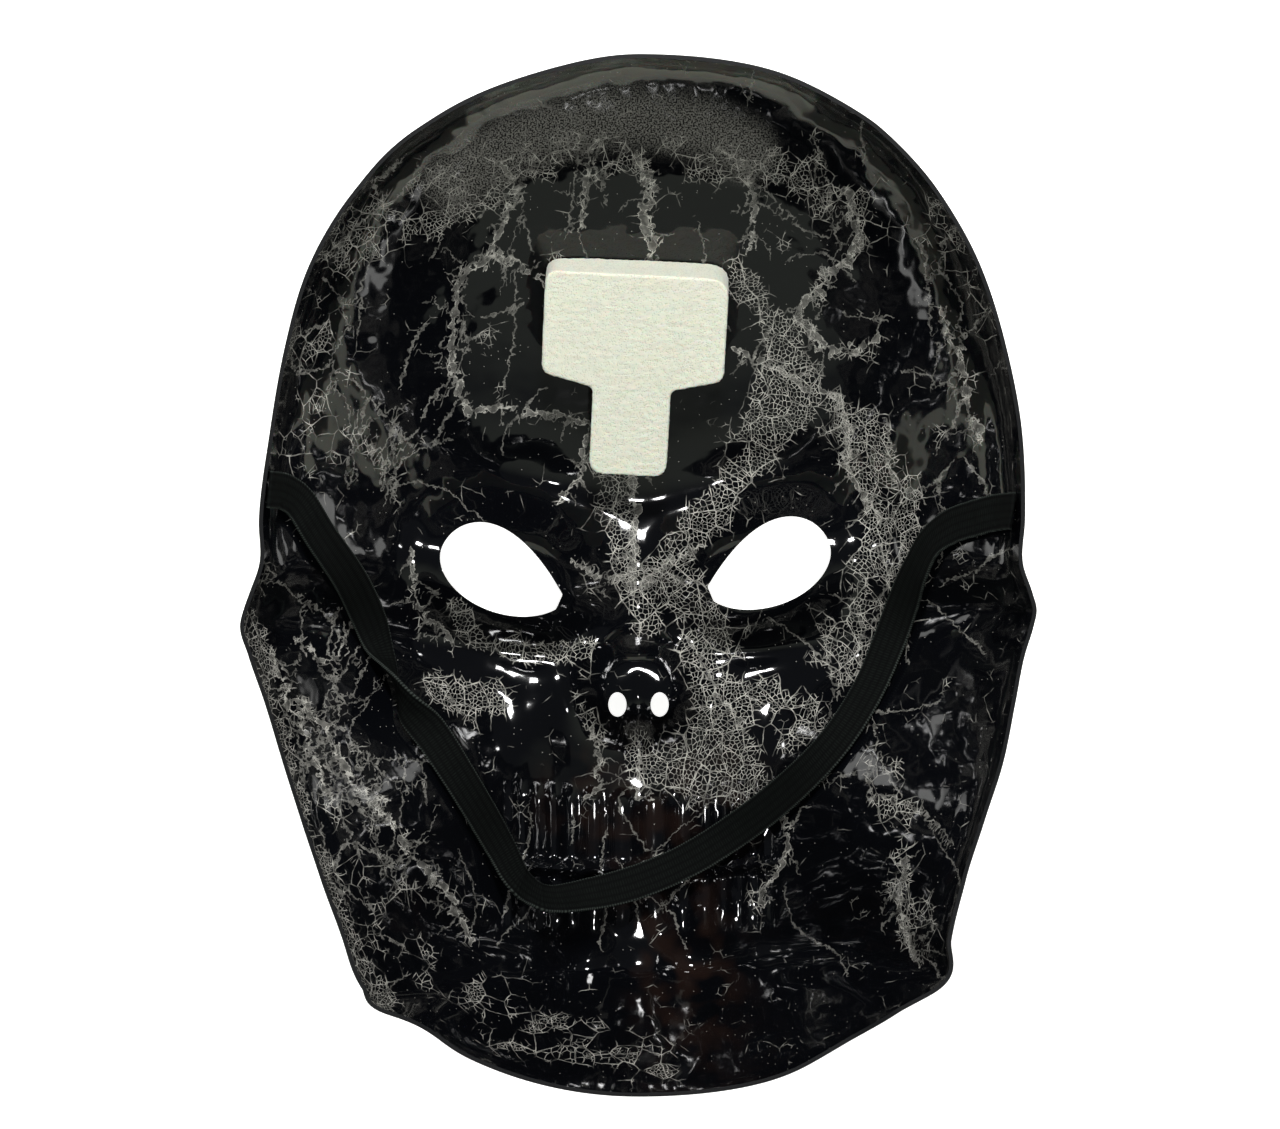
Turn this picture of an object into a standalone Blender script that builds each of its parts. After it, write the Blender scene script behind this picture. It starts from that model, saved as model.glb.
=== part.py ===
# Skull mask: a vacuum-formed full face mask lying face down, its hollow side up.
# Metres, +Z up. +X is the right of the picture, +Y runs up the face to the crown,
# and the rim is the highest edge. The floor it lies on is z = 0.

import math
from collections import namedtuple

import bmesh
import bpy
import numpy as np
from mathutils import Vector

# Mask shell
MASK_HEIGHT = 0.270          # chin to crown, along the rim
MASK_WIDTH = 0.2054          # over the cheekbone corners
FACE_DEPTH = 0.086           # rim plane to the front of the plain face form
MASK_WALL = 0.0011           # vacuum-formed PVC sheet
FRONT_BREADTH = 2.25         # power of the cross section, 2 for an ellipse and more for a broader front
FRONT_REACH_X = 0.7          # share of the half width within which the lowest place lies
FRONT_REACH_Y = 0.95         # and of the half height
CHIN_EDGE_DROP = 0.005       # how far the trimmed chin edge lies below the rim plane
CHIN_EDGE_START = -0.82      # level at which the edge begins to drop
CHIN_EDGE_END = -0.90        # and at which it has dropped
RIM_GATHERING = 0.55         # how far the lines of the fine surface gather towards the rim
RIM_BLEND = 0.14             # share inside the rim over which the relief fades out
CROSS_LINES = 250            # lines of the fine surface from side to side
UPRIGHT_LINES = 300          # and from chin to crown, before it is thinned
KEPT_FACETS = 0.0297         # share of the fine surface that is kept

# Eye holes
EYE_LENGTH = 0.0365          # inner tip to outer end
EYE_OPENING = 0.0222         # across the widest place
EYE_UPPER_TAPER = 1.0        # how early the upper edge runs to the tip
EYE_LOWER_TAPER = 0.16
EYE_TIP_CUT = 0.0013         # straight cut across the inner tip
EYE_CORNERS = 28

# Nostril holes
NOSTRIL_WIDTH = 0.0050
NOSTRIL_HEIGHT = 0.0068
NOSTRIL_SPACING = 0.0116
NOSTRIL_CORNERS = 14

# Teeth
TOOTH_RELIEF = 0.0024        # crown of a tooth above the groove beside it
TOOTH_ROUNDING = 2.4         # power of its cross section, higher for a flatter crown
TOOTH_MIDDLE = 0.5           # share of the relief that lies below the plain face
UPPER_TOOTH_LENGTH = 0.0190
LOWER_TOOTH_LENGTH = 0.0140
UPPER_SCALLOP = 0.16         # share by which a tooth is shorter at its sides
LOWER_SCALLOP = 0.40
ROOT_FADE = 0.0055
BITE_GROOVE = 0.0030
BITE_WIDTH = 0.0018

# Forehead pad
PAD_BAR_WIDTH = 0.0500
PAD_BAR_HEIGHT = 0.0300
PAD_STEM_WIDTH = 0.0215
PAD_LENGTH = 0.0590          # top of the bar to the end of the stem
PAD_THICKNESS = 0.0095       # at its thinnest
PAD_CORNER = 0.0035
PAD_EDGE_ROUND = 0.0008
PAD_GLUE_GAP = 0.0003
PAD_TOP_LEVEL = 0.640        # height of its upper edge, as a share of half the mask's height
PAD_TURN = math.radians(-3.0)
PAD_PITCH = 0.0036           # spacing of the lines on its back
PAD_LEAN_REACH = 0.88        # share of its length over which the forehead sets its lean

# Elastic strap
STRAP_WIDTH = 0.0100
STRAP_THICKNESS = 0.0011
STRAP_EDGE_ROUND = 0.0004
STRAP_REST_GAP = 0.0008      # to the shell that carries it
STRAP_STEP = 0.0050          # spacing of its sections
STRAP_SETTLE = 24            # how stiffly it bridges small bumps
STRAP_LIE = 0.6              # share of the slope across it that the strap follows
STRAP_LIE_SPREAD = 6         # samples each way over which that slope is averaged
STEEPEST_WALL = 6.0          # slope past which the shell counts as upright under it

HALF_HEIGHT = MASK_HEIGHT / 2
HALF_WIDTH = MASK_WIDTH / 2

# Rim: the level is a share of half the height, and left and right are shares of
# half the width, over those of a plain ellipse at that level.
RimRow = namedtuple("RimRow", "level left right")
RIM = (
    RimRow(1.000, 0.84, 1.50),
    RimRow(0.950, 1.01, 1.30),
    RimRow(0.860, 1.08, 1.19),
    RimRow(0.745, 1.06, 1.12),
    RimRow(0.600, 1.03, 1.07),
    RimRow(0.450, 0.99, 1.03),
    RimRow(0.283, 0.963, 1.003),
    RimRow(0.110, 0.958, 0.976),
    RimRow(0.020, 0.952, 0.966),
    RimRow(-0.036, 0.978, 0.991),
    RimRow(-0.065, 0.993, 1.002),
    RimRow(-0.093, 1.0044, 0.997),
    RimRow(-0.150, 0.991, 0.981),
    RimRow(-0.240, 0.967, 0.975),
    RimRow(-0.360, 0.955, 0.980),
    RimRow(-0.470, 0.9575, 0.983),
    RimRow(-0.585, 0.980, 1.011),
    RimRow(-0.700, 1.036, 1.097),
    RimRow(-0.790, 1.131, 1.236),
    RimRow(-0.835, 1.172, 1.190),
    RimRow(-0.848, 1.128, 1.188),
    RimRow(-0.930, 1.140, 1.225),
    RimRow(-1.000, 1.150, 1.480),
)

# Side view of the plain face form: depth is a share of FACE_DEPTH over that of
# an ellipse, and side_power says how soon the form falls away to the sides.
ProfileRow = namedtuple("ProfileRow", "level depth side_power")
PROFILE = (
    ProfileRow(1.000, 0.64, 0.50),
    ProfileRow(0.926, 0.73, 0.50),
    ProfileRow(0.815, 0.82, 0.50),
    ProfileRow(0.667, 0.88, 0.50),
    ProfileRow(0.520, 0.925, 0.50),
    ProfileRow(0.370, 0.957, 0.51),
    ProfileRow(0.222, 0.975, 0.53),
    ProfileRow(0.110, 0.970, 0.56),
    ProfileRow(0.000, 0.945, 0.59),
    ProfileRow(-0.150, 0.930, 0.62),
    ProfileRow(-0.330, 0.945, 0.68),
    ProfileRow(-0.444, 0.990, 0.72),
    ProfileRow(-0.556, 1.070, 0.73),
    ProfileRow(-0.667, 1.195, 0.70),
    ProfileRow(-0.778, 1.400, 0.64),
    ProfileRow(-0.840, 1.500, 0.60),
    ProfileRow(-0.900, 1.480, 0.56),
    ProfileRow(-0.950, 1.300, 0.53),
    ProfileRow(-1.000, 1.020, 0.50),
)

# Relief of the face. Across and reach_x are shares of half the width, up and
# reach_y of half the height, turn is in degrees, and rise is a share of
# FACE_DEPTH, positive where the face stands out. A mirrored form stands on both sides.
Form = namedtuple("Form", "name across up reach_x reach_y turn rise edge mirrored")
FORMS = (
    Form("forehead_boss", 0.330, 0.440, 0.250, 0.160, 0, 0.030, 1.0, True),
    Form("brow_ridge", 0.280, 0.195, 0.250, 0.078, 14, 0.094, 1.0, True),
    Form("glabella", 0.000, 0.095, 0.120, 0.075, 0, 0.010, 1.0, False),
    Form("temple_hollow", 0.800, 0.160, 0.170, 0.190, 0, -0.120, 1.0, True),
    Form("nasal_bone", 0.000, -0.045, 0.080, 0.085, 0, 0.070, 1.0, False),
    Form("nose_dome", 0.000, -0.222, 0.152, 0.092, 0, -0.130, 1.8, False),
    Form("nose_lobe", 0.085, -0.275, 0.080, 0.062, -30, -0.030, 1.0, True),
    Form("nose_cleft", 0.000, -0.290, 0.014, 0.060, 0, 0.016, 1.0, False),
    Form("nose_spine", 0.000, -0.345, 0.030, 0.040, 0, 0.030, 1.0, False),
    Form("cheekbone", 0.600, -0.165, 0.270, 0.085, 22, 0.110, 1.0, True),
    Form("cheekbone_end", 0.900, -0.085, 0.110, 0.070, 15, 0.060, 1.0, True),
    Form("orbit_floor", 0.340, -0.150, 0.170, 0.034, 8, 0.045, 1.0, True),
    Form("cheek_hollow", 0.640, -0.480, 0.210, 0.170, 40, -0.110, 1.3, True),
    Form("canine_hollow", 0.270, -0.300, 0.080, 0.090, 0, -0.035, 1.0, True),
    Form("muzzle", 0.000, -0.560, 0.430, 0.275, 0, 0.105, 1.3, False),
    Form("jaw_side", 0.500, -0.740, 0.290, 0.080, 28, 0.075, 1.0, True),
    Form("below_teeth", 0.000, -0.800, 0.240, 0.034, 0, -0.012, 1.0, False),
    Form("chin_boss", 0.150, -0.815, 0.130, 0.070, 0, 0.135, 1.0, True),
)

# Eye holes: the centre as shares of half the width and height, and the turn in
# degrees by which the outer end is the higher one.
Eye = namedtuple("Eye", "name side across up turn")
EYES = (
    Eye("left_eye", -1, 0.358, 0.006, 24.0),
    Eye("right_eye", 1, 0.341, 0.019, 22.5),
)
SOCKET_REACH = 1.36          # socket edge over the hole's half length
SOCKET_OPENING_REACH = 1.52  # and over its half opening
SOCKET_RISE = -0.150         # share of FACE_DEPTH
SOCKET_EDGE = 2.2
NOSTRIL_LEVEL = -0.262

# Teeth: the edges of the teeth from the middle outwards, as shares of half the width.
TOOTH_EDGES = (0.000, 0.091, 0.160, 0.211, 0.254, 0.296, 0.340, 0.388)
BITE_LEVEL = -0.606
BITE_CURVE = 0.22            # rise of the bite line at the sides, as a share of the half width

# Route of the strap from its left end to its right one: across and up are shares
# of half the width and height, and lean is the turn in degrees of its flat side.
Stop = namedtuple("Stop", "across up lean")
STRAP_ROUTE = (
    Stop(-0.936, 0.168, 0),
    Stop(-0.905, 0.164, 0),
    Stop(-0.868, 0.140, 0),
    Stop(-0.822, 0.078, 0),
    Stop(-0.757, -0.005, 0),
    Stop(-0.714, -0.085, 0),
    Stop(-0.680, -0.160, -24),
    Stop(-0.622, -0.245, -90),
    Stop(-0.550, -0.312, -152),
    Stop(-0.488, -0.386, -172),
    Stop(-0.426, -0.468, -180),
    Stop(-0.368, -0.551, -190),
    Stop(-0.318, -0.620, -212),
    Stop(-0.245, -0.658, -222),
    Stop(-0.131, -0.652, -214),
    Stop(0.004, -0.626, -200),
    Stop(0.139, -0.581, -190),
    Stop(0.275, -0.513, -184),
    Stop(0.395, -0.436, -180),
    Stop(0.515, -0.338, -180),
    Stop(0.607, -0.232, -180),
    Stop(0.664, -0.135, -182),
    Stop(0.699, -0.058, -190),
    Stop(0.728, 0.010, -200),
    Stop(0.762, 0.066, -198),
    Stop(0.812, 0.098, -186),
    Stop(0.868, 0.114, -180),
    Stop(0.915, 0.124, -180),
    Stop(0.952, 0.127, -180),
)


def clear_scene():
    for thing in list(bpy.data.objects):
        bpy.data.objects.remove(thing)


def read_table(rows, name, at):
    # A smooth curve through one column of a table, over its level column.
    levels = np.array([row.level for row in rows])[::-1]
    values = np.array([getattr(row, name) for row in rows])[::-1]
    slopes = np.gradient(values, levels)
    at = np.clip(at, levels[0], levels[-1])
    index = np.clip(np.searchsorted(levels, at) - 1, 0, len(levels) - 2)
    span = levels[index + 1] - levels[index]
    along = (at - levels[index]) / span
    start = (1 + 2 * along) * (1 - along) ** 2 * values[index]
    end = along ** 2 * (3 - 2 * along) * values[index + 1]
    leave = along * (1 - along) ** 2 * span * slopes[index]
    arrive = along ** 2 * (along - 1) * span * slopes[index + 1]
    return start + end + leave + arrive


def ellipse_share(level):
    return np.sqrt(np.clip(1 - level ** 2, 0, None))


def rim_edges(level):
    # The rim's left and right places at a level, in metres.
    share = ellipse_share(level) * HALF_WIDTH
    left = -share * read_table(RIM, "left", level)
    right = share * read_table(RIM, "right", level)
    return left, right


def bump(x, y, centre_x, centre_y, reach_x, reach_y, turn, edge):
    # A rounded form of height 1, with steeper flanks at a higher edge value.
    across = (x - centre_x) * math.cos(turn) + (y - centre_y) * math.sin(turn)
    up = (y - centre_y) * math.cos(turn) - (x - centre_x) * math.sin(turn)
    return np.exp(-((across / reach_x) ** 2 + (up / reach_y) ** 2) ** edge)


def soft_step(value, low, high):
    share = np.clip((value - low) / (high - low), 0, 1)
    return share * share * (3 - 2 * share)


def tooth_row(x, y, length, scallop, way):
    # Ribs of one row of teeth. Way is 1 for the upper row and -1 for the lower one.
    edges = np.array(TOOTH_EDGES) * HALF_WIDTH
    off = np.abs(x)
    index = np.clip(np.searchsorted(edges, off, side="right") - 1, 0, len(edges) - 2)
    middle = (edges[index] + edges[index + 1]) / 2
    half = (edges[index + 1] - edges[index]) / 2
    share = np.abs(off - middle) / half
    crown = 1 - np.clip(share, 0, 1) ** TOOTH_ROUNDING
    bite = BITE_LEVEL * HALF_HEIGHT + BITE_CURVE * x ** 2 / HALF_WIDTH
    reach = (y - bite) * way
    root = length * (1 - scallop * share ** 2)
    in_row = soft_step(reach, 0, BITE_WIDTH) * (1 - soft_step(reach, root, root + ROOT_FADE))
    in_arch = 1 - soft_step(off, edges[-2], edges[-1])
    return TOOTH_RELIEF * (crown - TOOTH_MIDDLE) * in_row * in_arch


def bite_line(x, y):
    bite = BITE_LEVEL * HALF_HEIGHT + BITE_CURVE * x ** 2 / HALF_WIDTH
    in_arch = 1 - soft_step(np.abs(x), TOOTH_EDGES[-2] * HALF_WIDTH, TOOTH_EDGES[-1] * HALF_WIDTH)
    return -BITE_GROOVE * np.exp(-((y - bite) / BITE_WIDTH) ** 2) * in_arch


def face_depth(x, y):
    # How far the inner face lies below the rim plane.
    level = y / HALF_HEIGHT
    left, right = rim_edges(level)
    width = np.maximum(right - left, 1e-9)
    side = np.clip((2 * x - left - right) / width, -1, 1)
    middle = FACE_DEPTH * ellipse_share(level) * read_table(PROFILE, "depth", level)
    falling = (1 - np.abs(side) ** FRONT_BREADTH) ** read_table(PROFILE, "side_power", level)
    edge_drop = CHIN_EDGE_DROP * (1 - soft_step(level, CHIN_EDGE_END, CHIN_EDGE_START))
    depth = edge_drop + np.maximum(middle - edge_drop, 0) * falling
    relief = tooth_row(x, y, UPPER_TOOTH_LENGTH, UPPER_SCALLOP, 1)
    relief = relief + tooth_row(x, y, LOWER_TOOTH_LENGTH, LOWER_SCALLOP, -1)
    relief = relief + bite_line(x, y)
    for form in FORMS:
        for hand in (-1, 1) if form.mirrored else (1,):
            relief = relief + form.rise * FACE_DEPTH * bump(
                x,
                y,
                hand * form.across * HALF_WIDTH,
                form.up * HALF_HEIGHT,
                form.reach_x * HALF_WIDTH,
                form.reach_y * HALF_HEIGHT,
                hand * math.radians(form.turn),
                form.edge,
            )
    for eye in EYES:
        relief = relief + SOCKET_RISE * FACE_DEPTH * bump(
            x,
            y,
            eye.side * eye.across * HALF_WIDTH,
            eye.up * HALF_HEIGHT,
            SOCKET_REACH * EYE_LENGTH / 2,
            SOCKET_OPENING_REACH * EYE_OPENING / 2,
            eye.side * math.radians(eye.turn),
            SOCKET_EDGE,
        )
    # The relief fades out where the wall meets the rim.
    inside = 1 - np.maximum(np.abs(side), np.abs(level)) ** 2
    return depth + relief * soft_step(inside, 0.0, RIM_BLEND)


def deepest():
    across, up = np.meshgrid(
        np.linspace(-HALF_WIDTH, HALF_WIDTH, 301) * FRONT_REACH_X,
        np.linspace(-HALF_HEIGHT, HALF_HEIGHT, 401) * FRONT_REACH_Y,
    )
    return float(face_depth(across.ravel(), up.ravel()).max())


RIM_LEVEL = deepest() + MASK_WALL


def inner_height(x, y):
    return RIM_LEVEL - face_depth(x, y)


def make_material(name, colour, roughness):
    material = bpy.data.materials.new(name)
    material.use_nodes = True
    shader = material.node_tree.nodes["Principled BSDF"]
    shader.inputs["Base Color"].default_value = (*colour, 1)
    shader.inputs["Roughness"].default_value = roughness
    shader.inputs["Metallic"].default_value = 0.0
    return material


def add_object(name, bm, material=None):
    mesh = bpy.data.meshes.new(name)
    bm.to_mesh(mesh)
    bm.free()
    thing = bpy.data.objects.new(name, mesh)
    bpy.context.scene.collection.objects.link(thing)
    if material:
        mesh.materials.append(material)
    return thing


def prism(outline, low, high):
    # A closed prism over an outline that runs anticlockwise.
    bm = bmesh.new()
    ring = [bm.verts.new((x, y, low)) for x, y in outline]
    floor = bm.faces.new(ring)
    lifted = bmesh.ops.extrude_face_region(bm, geom=[floor])["geom"]
    top = [part for part in lifted if isinstance(part, bmesh.types.BMVert)]
    bmesh.ops.translate(bm, verts=top, vec=(0, 0, high - low))
    bmesh.ops.recalc_face_normals(bm, faces=bm.faces)
    return bm


def taper_peak(taper):
    turn = math.acos(-taper / (2 + taper))
    return math.sin(turn) * math.sin(turn / 2) ** taper


def eye_outline(eye):
    # A drop shape, pointed at the inner tip and round at the outer end.
    turn = eye.side * math.radians(eye.turn)
    points = []
    for corner in range(EYE_CORNERS):
        angle = 2 * math.pi * corner / EYE_CORNERS
        upper = math.sin(angle) >= 0
        taper = EYE_UPPER_TAPER if upper else EYE_LOWER_TAPER
        along = -min(math.cos(angle) * EYE_LENGTH / 2, EYE_LENGTH / 2 - EYE_TIP_CUT) * eye.side
        rise = math.sin(angle) * abs(math.sin(angle / 2)) ** taper / taper_peak(taper)
        rise = rise * EYE_OPENING / 2
        x = along * math.cos(turn) - rise * math.sin(turn)
        y = along * math.sin(turn) + rise * math.cos(turn)
        centre_x = eye.side * eye.across * HALF_WIDTH
        centre_y = eye.up * HALF_HEIGHT
        points.append((x + centre_x, y + centre_y))
    return points


def nostril_outline(side):
    points = []
    for corner in range(NOSTRIL_CORNERS):
        angle = 2 * math.pi * corner / NOSTRIL_CORNERS
        x = side * NOSTRIL_SPACING / 2 + NOSTRIL_WIDTH / 2 * math.cos(angle)
        y = NOSTRIL_LEVEL * HALF_HEIGHT + NOSTRIL_HEIGHT / 2 * math.sin(angle)
        points.append((x, y))
    return points


def cut(body, name, outline):
    cutter = add_object(name, prism(outline, -MASK_WALL, RIM_LEVEL))
    cutter.hide_render = True
    cutter.display_type = "WIRE"
    hole = body.modifiers.new(name, "BOOLEAN")
    hole.operation = "DIFFERENCE"
    hole.solver = "EXACT"
    hole.object = cutter


def make_shell():
    bm = bmesh.new()
    bmesh.ops.create_grid(bm, x_segments=CROSS_LINES, y_segments=UPRIGHT_LINES, size=1)
    grid = np.array([vert.co[:2] for vert in bm.verts])
    # Lines gather towards the steep walls at the rim, and the square becomes a disc.
    u, v = ((1 - RIM_GATHERING) * grid + RIM_GATHERING * np.sin(grid * math.pi / 2)).T
    disc_x = u * np.sqrt(1 - v * v / 2)
    level = np.clip(v * np.sqrt(1 - u * u / 2), -1, 1)
    share = ellipse_share(level)
    side = np.clip(np.divide(disc_x, share, out=np.zeros_like(share), where=share > 1e-6), -1, 1)
    left, right = rim_edges(level)
    x = (left + right) / 2 + side * (right - left) / 2
    y = level * HALF_HEIGHT
    z = inner_height(x, y)
    for vert, place in zip(bm.verts, np.column_stack((x, y, z))):
        vert.co = place
    shell = add_object("mask_shell", bm, make_material("black_pvc", (0.004, 0.0045, 0.006), 0.12))

    thin = shell.modifiers.new("facets", "DECIMATE")
    thin.decimate_type = "COLLAPSE"
    thin.ratio = KEPT_FACETS
    wall = shell.modifiers.new("wall", "SOLIDIFY")
    wall.thickness = MASK_WALL
    wall.offset = -1
    wall.use_even_offset = False
    for eye in EYES:
        cut(shell, eye.name, eye_outline(eye))
    for name, side in (("left_nostril", -1), ("right_nostril", 1)):
        cut(shell, name, nostril_outline(side))
    shell.data.shade_smooth()
    return shell


def rounded_outline(corners, radius, steps=3):
    # Rounds each corner of a closed outline with a short arc.
    points = []
    for index, corner in enumerate(corners):
        corner = Vector(corner)
        back = (Vector(corners[index - 1]) - corner).normalized()
        ahead = (Vector(corners[(index + 1) % len(corners)]) - corner).normalized()
        for step in range(steps + 1):
            share = step / steps
            start = corner + back * radius * (1 - share) ** 2
            points.append(start + ahead * radius * share ** 2)
    return points


def pad_frame():
    # The pad's flat front: its upper middle point, and its right, down and outward ways.
    top_y = PAD_TOP_LEVEL * HALF_HEIGHT
    low_y = top_y - PAD_LENGTH * PAD_LEAN_REACH
    heights = inner_height(np.zeros(2), np.array([top_y, low_y]))
    down = Vector((0, low_y - top_y, heights[1] - heights[0])).normalized()
    right = Vector((math.cos(PAD_TURN), math.sin(PAD_TURN), 0))
    down = (down - right * down.dot(right)).normalized()
    out = down.cross(right).normalized()
    if out.z < 0:
        out = -out
    # The front stands clear of the forehead by the thickness at the nearest place.
    share = np.linspace(0, 1, 25)
    spread = np.linspace(-0.5, 0.5, 13)
    rows, columns = np.meshgrid(share, spread)
    wide = np.where(rows < PAD_BAR_HEIGHT / PAD_LENGTH, PAD_BAR_WIDTH, PAD_STEM_WIDTH)
    start = np.array((0, top_y, heights[0]))
    points = start + rows[..., None] * PAD_LENGTH * np.array(down)
    points = points + (columns * wide)[..., None] * np.array(right)
    carrier = inner_height(points[..., 0], points[..., 1])
    lift = ((carrier - points[..., 2]) * out.z).max() + PAD_GLUE_GAP + PAD_THICKNESS
    return Vector(start) + out * lift, right, down, out


def make_pad():
    top, right, down, out = pad_frame()
    bar = PAD_BAR_WIDTH / 2
    stem = PAD_STEM_WIDTH / 2
    corners = (
        (-bar, 0),
        (bar, 0),
        (bar, PAD_BAR_HEIGHT),
        (stem, PAD_BAR_HEIGHT + PAD_CORNER),
        (stem, PAD_LENGTH),
        (-stem, PAD_LENGTH),
        (-stem, PAD_BAR_HEIGHT + PAD_CORNER),
        (-bar, PAD_BAR_HEIGHT),
    )
    bm = bmesh.new()
    ring = [
        bm.verts.new(top + right * point.x + down * point.y)
        for point in rounded_outline(corners, PAD_CORNER)
    ]
    front = bm.faces.new(ring)
    front.normal_update()
    if front.normal.dot(out) < 0:
        front.normal_flip()
    # The back is cut into a net of lines, so that it can follow the forehead.
    deep = bmesh.ops.extrude_face_region(bm, geom=[front])["geom"]
    back = [part for part in deep if isinstance(part, bmesh.types.BMVert)]
    bmesh.ops.translate(bm, verts=back, vec=-out * PAD_THICKNESS)
    bmesh.ops.recalc_face_normals(bm, faces=bm.faces)
    cuts = []
    for way, length in ((right, PAD_BAR_WIDTH), (down, PAD_LENGTH)):
        count = int(length / PAD_PITCH)
        first = -length / 2 if way is right else 0
        cuts += [(way, first + length * step / count) for step in range(1, count)]
    for way, place in cuts:
        faces = [face for face in bm.faces if face.normal.dot(out) < -0.9]
        edges = {edge for face in faces for edge in face.edges}
        verts = {vert for face in faces for vert in face.verts}
        bmesh.ops.bisect_plane(
            bm,
            geom=faces + list(edges) + list(verts),
            dist=1e-6,
            plane_co=top + way * place,
            plane_no=way,
        )
    bmesh.ops.triangulate(bm, faces=[face for face in bm.faces if face.normal.dot(out) < -0.9])
    for vert in bm.verts:
        if (vert.co - top).dot(out) < -PAD_THICKNESS / 2:
            seat_on_forehead(vert, out)
    pad = add_object("foam_pad", bm, make_material("cream_foam", (0.74, 0.76, 0.62), 0.95))
    edge = pad.modifiers.new("edge", "BEVEL")
    edge.width = PAD_EDGE_ROUND
    edge.segments = 1
    edge.limit_method = "ANGLE"
    edge.angle_limit = math.radians(60)
    pad.data.shade_flat()
    return pad


def seat_on_forehead(vert, out):
    # Slides a point along the pad's own thickness until it lies a glue gap off the shell.
    for _ in range(12):
        height = float(inner_height(np.array([vert.co.x]), np.array([vert.co.y]))[0])
        vert.co += out * (height + PAD_GLUE_GAP / out.z - vert.co.z) * out.z


def smooth_route(values, count):
    # Passes a smooth curve through evenly numbered values.
    padded = np.concatenate(([2 * values[0] - values[1]], values, [2 * values[-1] - values[-2]]))
    at = np.linspace(0, len(values) - 1, count)
    index = np.minimum(at.astype(int), len(values) - 2)
    along = at - index
    before, start, end, after = (padded[index + step] for step in range(4))
    bend = 2 * start - 2 * end + (end - before) / 2 + (after - start) / 2
    swing = 3 * (end - start) - (end - before) - (after - start) / 2
    return start + along * (end - before) / 2 + along ** 2 * swing + along ** 3 * bend


def strap_line():
    # Centre line and width way of the strap, laid on what is under it.
    fine = 12 * len(STRAP_ROUTE)
    x = smooth_route(np.array([stop.across for stop in STRAP_ROUTE]) * HALF_WIDTH, fine)
    y = smooth_route(np.array([stop.up for stop in STRAP_ROUTE]) * HALF_HEIGHT, fine)
    lean = np.radians(smooth_route(np.array([float(stop.lean) for stop in STRAP_ROUTE]), fine))
    heading = np.column_stack((np.gradient(x), np.gradient(y)))
    heading = heading / np.linalg.norm(heading, axis=1)[:, None]
    sideways = np.column_stack((-heading[:, 1], heading[:, 0]))
    half = STRAP_WIDTH / 2
    # The strap leans with the slope under it, by part of that slope and not with each tooth.
    off = sideways * half
    rise = inner_height(x + off[:, 0], y + off[:, 1]) - inner_height(x - off[:, 0], y - off[:, 1])
    follow = STRAP_LIE * np.arctan(rise / STRAP_WIDTH)
    spread = np.pad(follow, STRAP_LIE_SPREAD, mode="edge")
    window = np.ones(2 * STRAP_LIE_SPREAD + 1) / (2 * STRAP_LIE_SPREAD + 1)
    lean = lean + np.convolve(spread, window, mode="valid")
    step = 0.0005
    level = np.full(fine, -1.0)
    for share in np.linspace(-1, 1, 9):
        off_x = x + sideways[:, 0] * share * half * np.cos(lean)
        off_y = y + sideways[:, 1] * share * half * np.cos(lean)
        height = inner_height(off_x, off_y)
        slope_x = (inner_height(off_x + step, off_y) - inner_height(off_x - step, off_y)) / (2 * step)
        slope_y = (inner_height(off_x, off_y + step) - inner_height(off_x, off_y - step)) / (2 * step)
        steep = np.sqrt(1 + np.minimum(slope_x ** 2 + slope_y ** 2, STEEPEST_WALL ** 2))
        clear = (STRAP_REST_GAP + STRAP_THICKNESS / 2) * steep
        level = np.maximum(level, height + clear - share * half * np.sin(lean))
    carried = level.copy()
    for _ in range(STRAP_SETTLE):
        level[1:-1] = np.maximum(carried[1:-1], (level[:-2] + level[2:]) / 2)
    centre = np.column_stack((x, y, level))
    ahead = np.gradient(centre, axis=0)
    ahead = ahead / np.linalg.norm(ahead, axis=1)[:, None]
    flat = np.column_stack((sideways, np.zeros(fine)))
    rising = np.cross(ahead, flat)
    width_way = flat * np.cos(lean)[:, None] + rising * np.sin(lean)[:, None]
    return centre, width_way, np.cross(ahead, width_way)


def strap_sections():
    centre, width_way, face_way = strap_line()
    run = np.concatenate(([0], np.cumsum(np.linalg.norm(np.diff(centre, axis=0), axis=1))))
    count = int(round(run[-1] / STRAP_STEP)) + 1
    at = np.linspace(0, run[-1], count)
    read = [
        np.column_stack([np.interp(at, run, lane) for lane in table.T])
        for table in (centre, width_way, face_way)
    ]
    return read, run[-1]


def make_strap():
    (centre, width_way, face_way), length = strap_sections()
    print("strap length", round(length, 4))
    wide = STRAP_WIDTH / 2
    thick = STRAP_THICKNESS / 2
    inset = STRAP_EDGE_ROUND
    section = (
        (-wide, -thick + inset),
        (-wide + inset, -thick),
        (wide - inset, -thick),
        (wide, -thick + inset),
        (wide, thick - inset),
        (wide - inset, thick),
        (-wide + inset, thick),
        (-wide, thick - inset),
    )
    bm = bmesh.new()
    rings = []
    for place, side, face in zip(centre, width_way, face_way):
        rings.append([bm.verts.new(place + side * a + face * b) for a, b in section])
    bm.faces.new(rings[0])
    bm.faces.new(rings[-1])
    for ring, following in zip(rings, rings[1:]):
        for index in range(len(section)):
            ahead = (index + 1) % len(section)
            bm.faces.new((ring[index], ring[ahead], following[ahead], following[index]))
    bmesh.ops.recalc_face_normals(bm, faces=bm.faces)
    strap = add_object("elastic_strap", bm, make_material("black_elastic", (0.008, 0.010, 0.009), 0.85))
    strap.data.shade_flat()
    return strap


clear_scene()
make_shell()
make_pad()
make_strap()
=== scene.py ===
# Skull mask of thin glossy PVC, lying face down so that its hollow shows. A foam pad
# sits at the forehead and a flat elastic strap lies loose across the hollow.

import math

import bmesh
import bpy
import numpy as np
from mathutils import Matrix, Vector, noise


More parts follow.
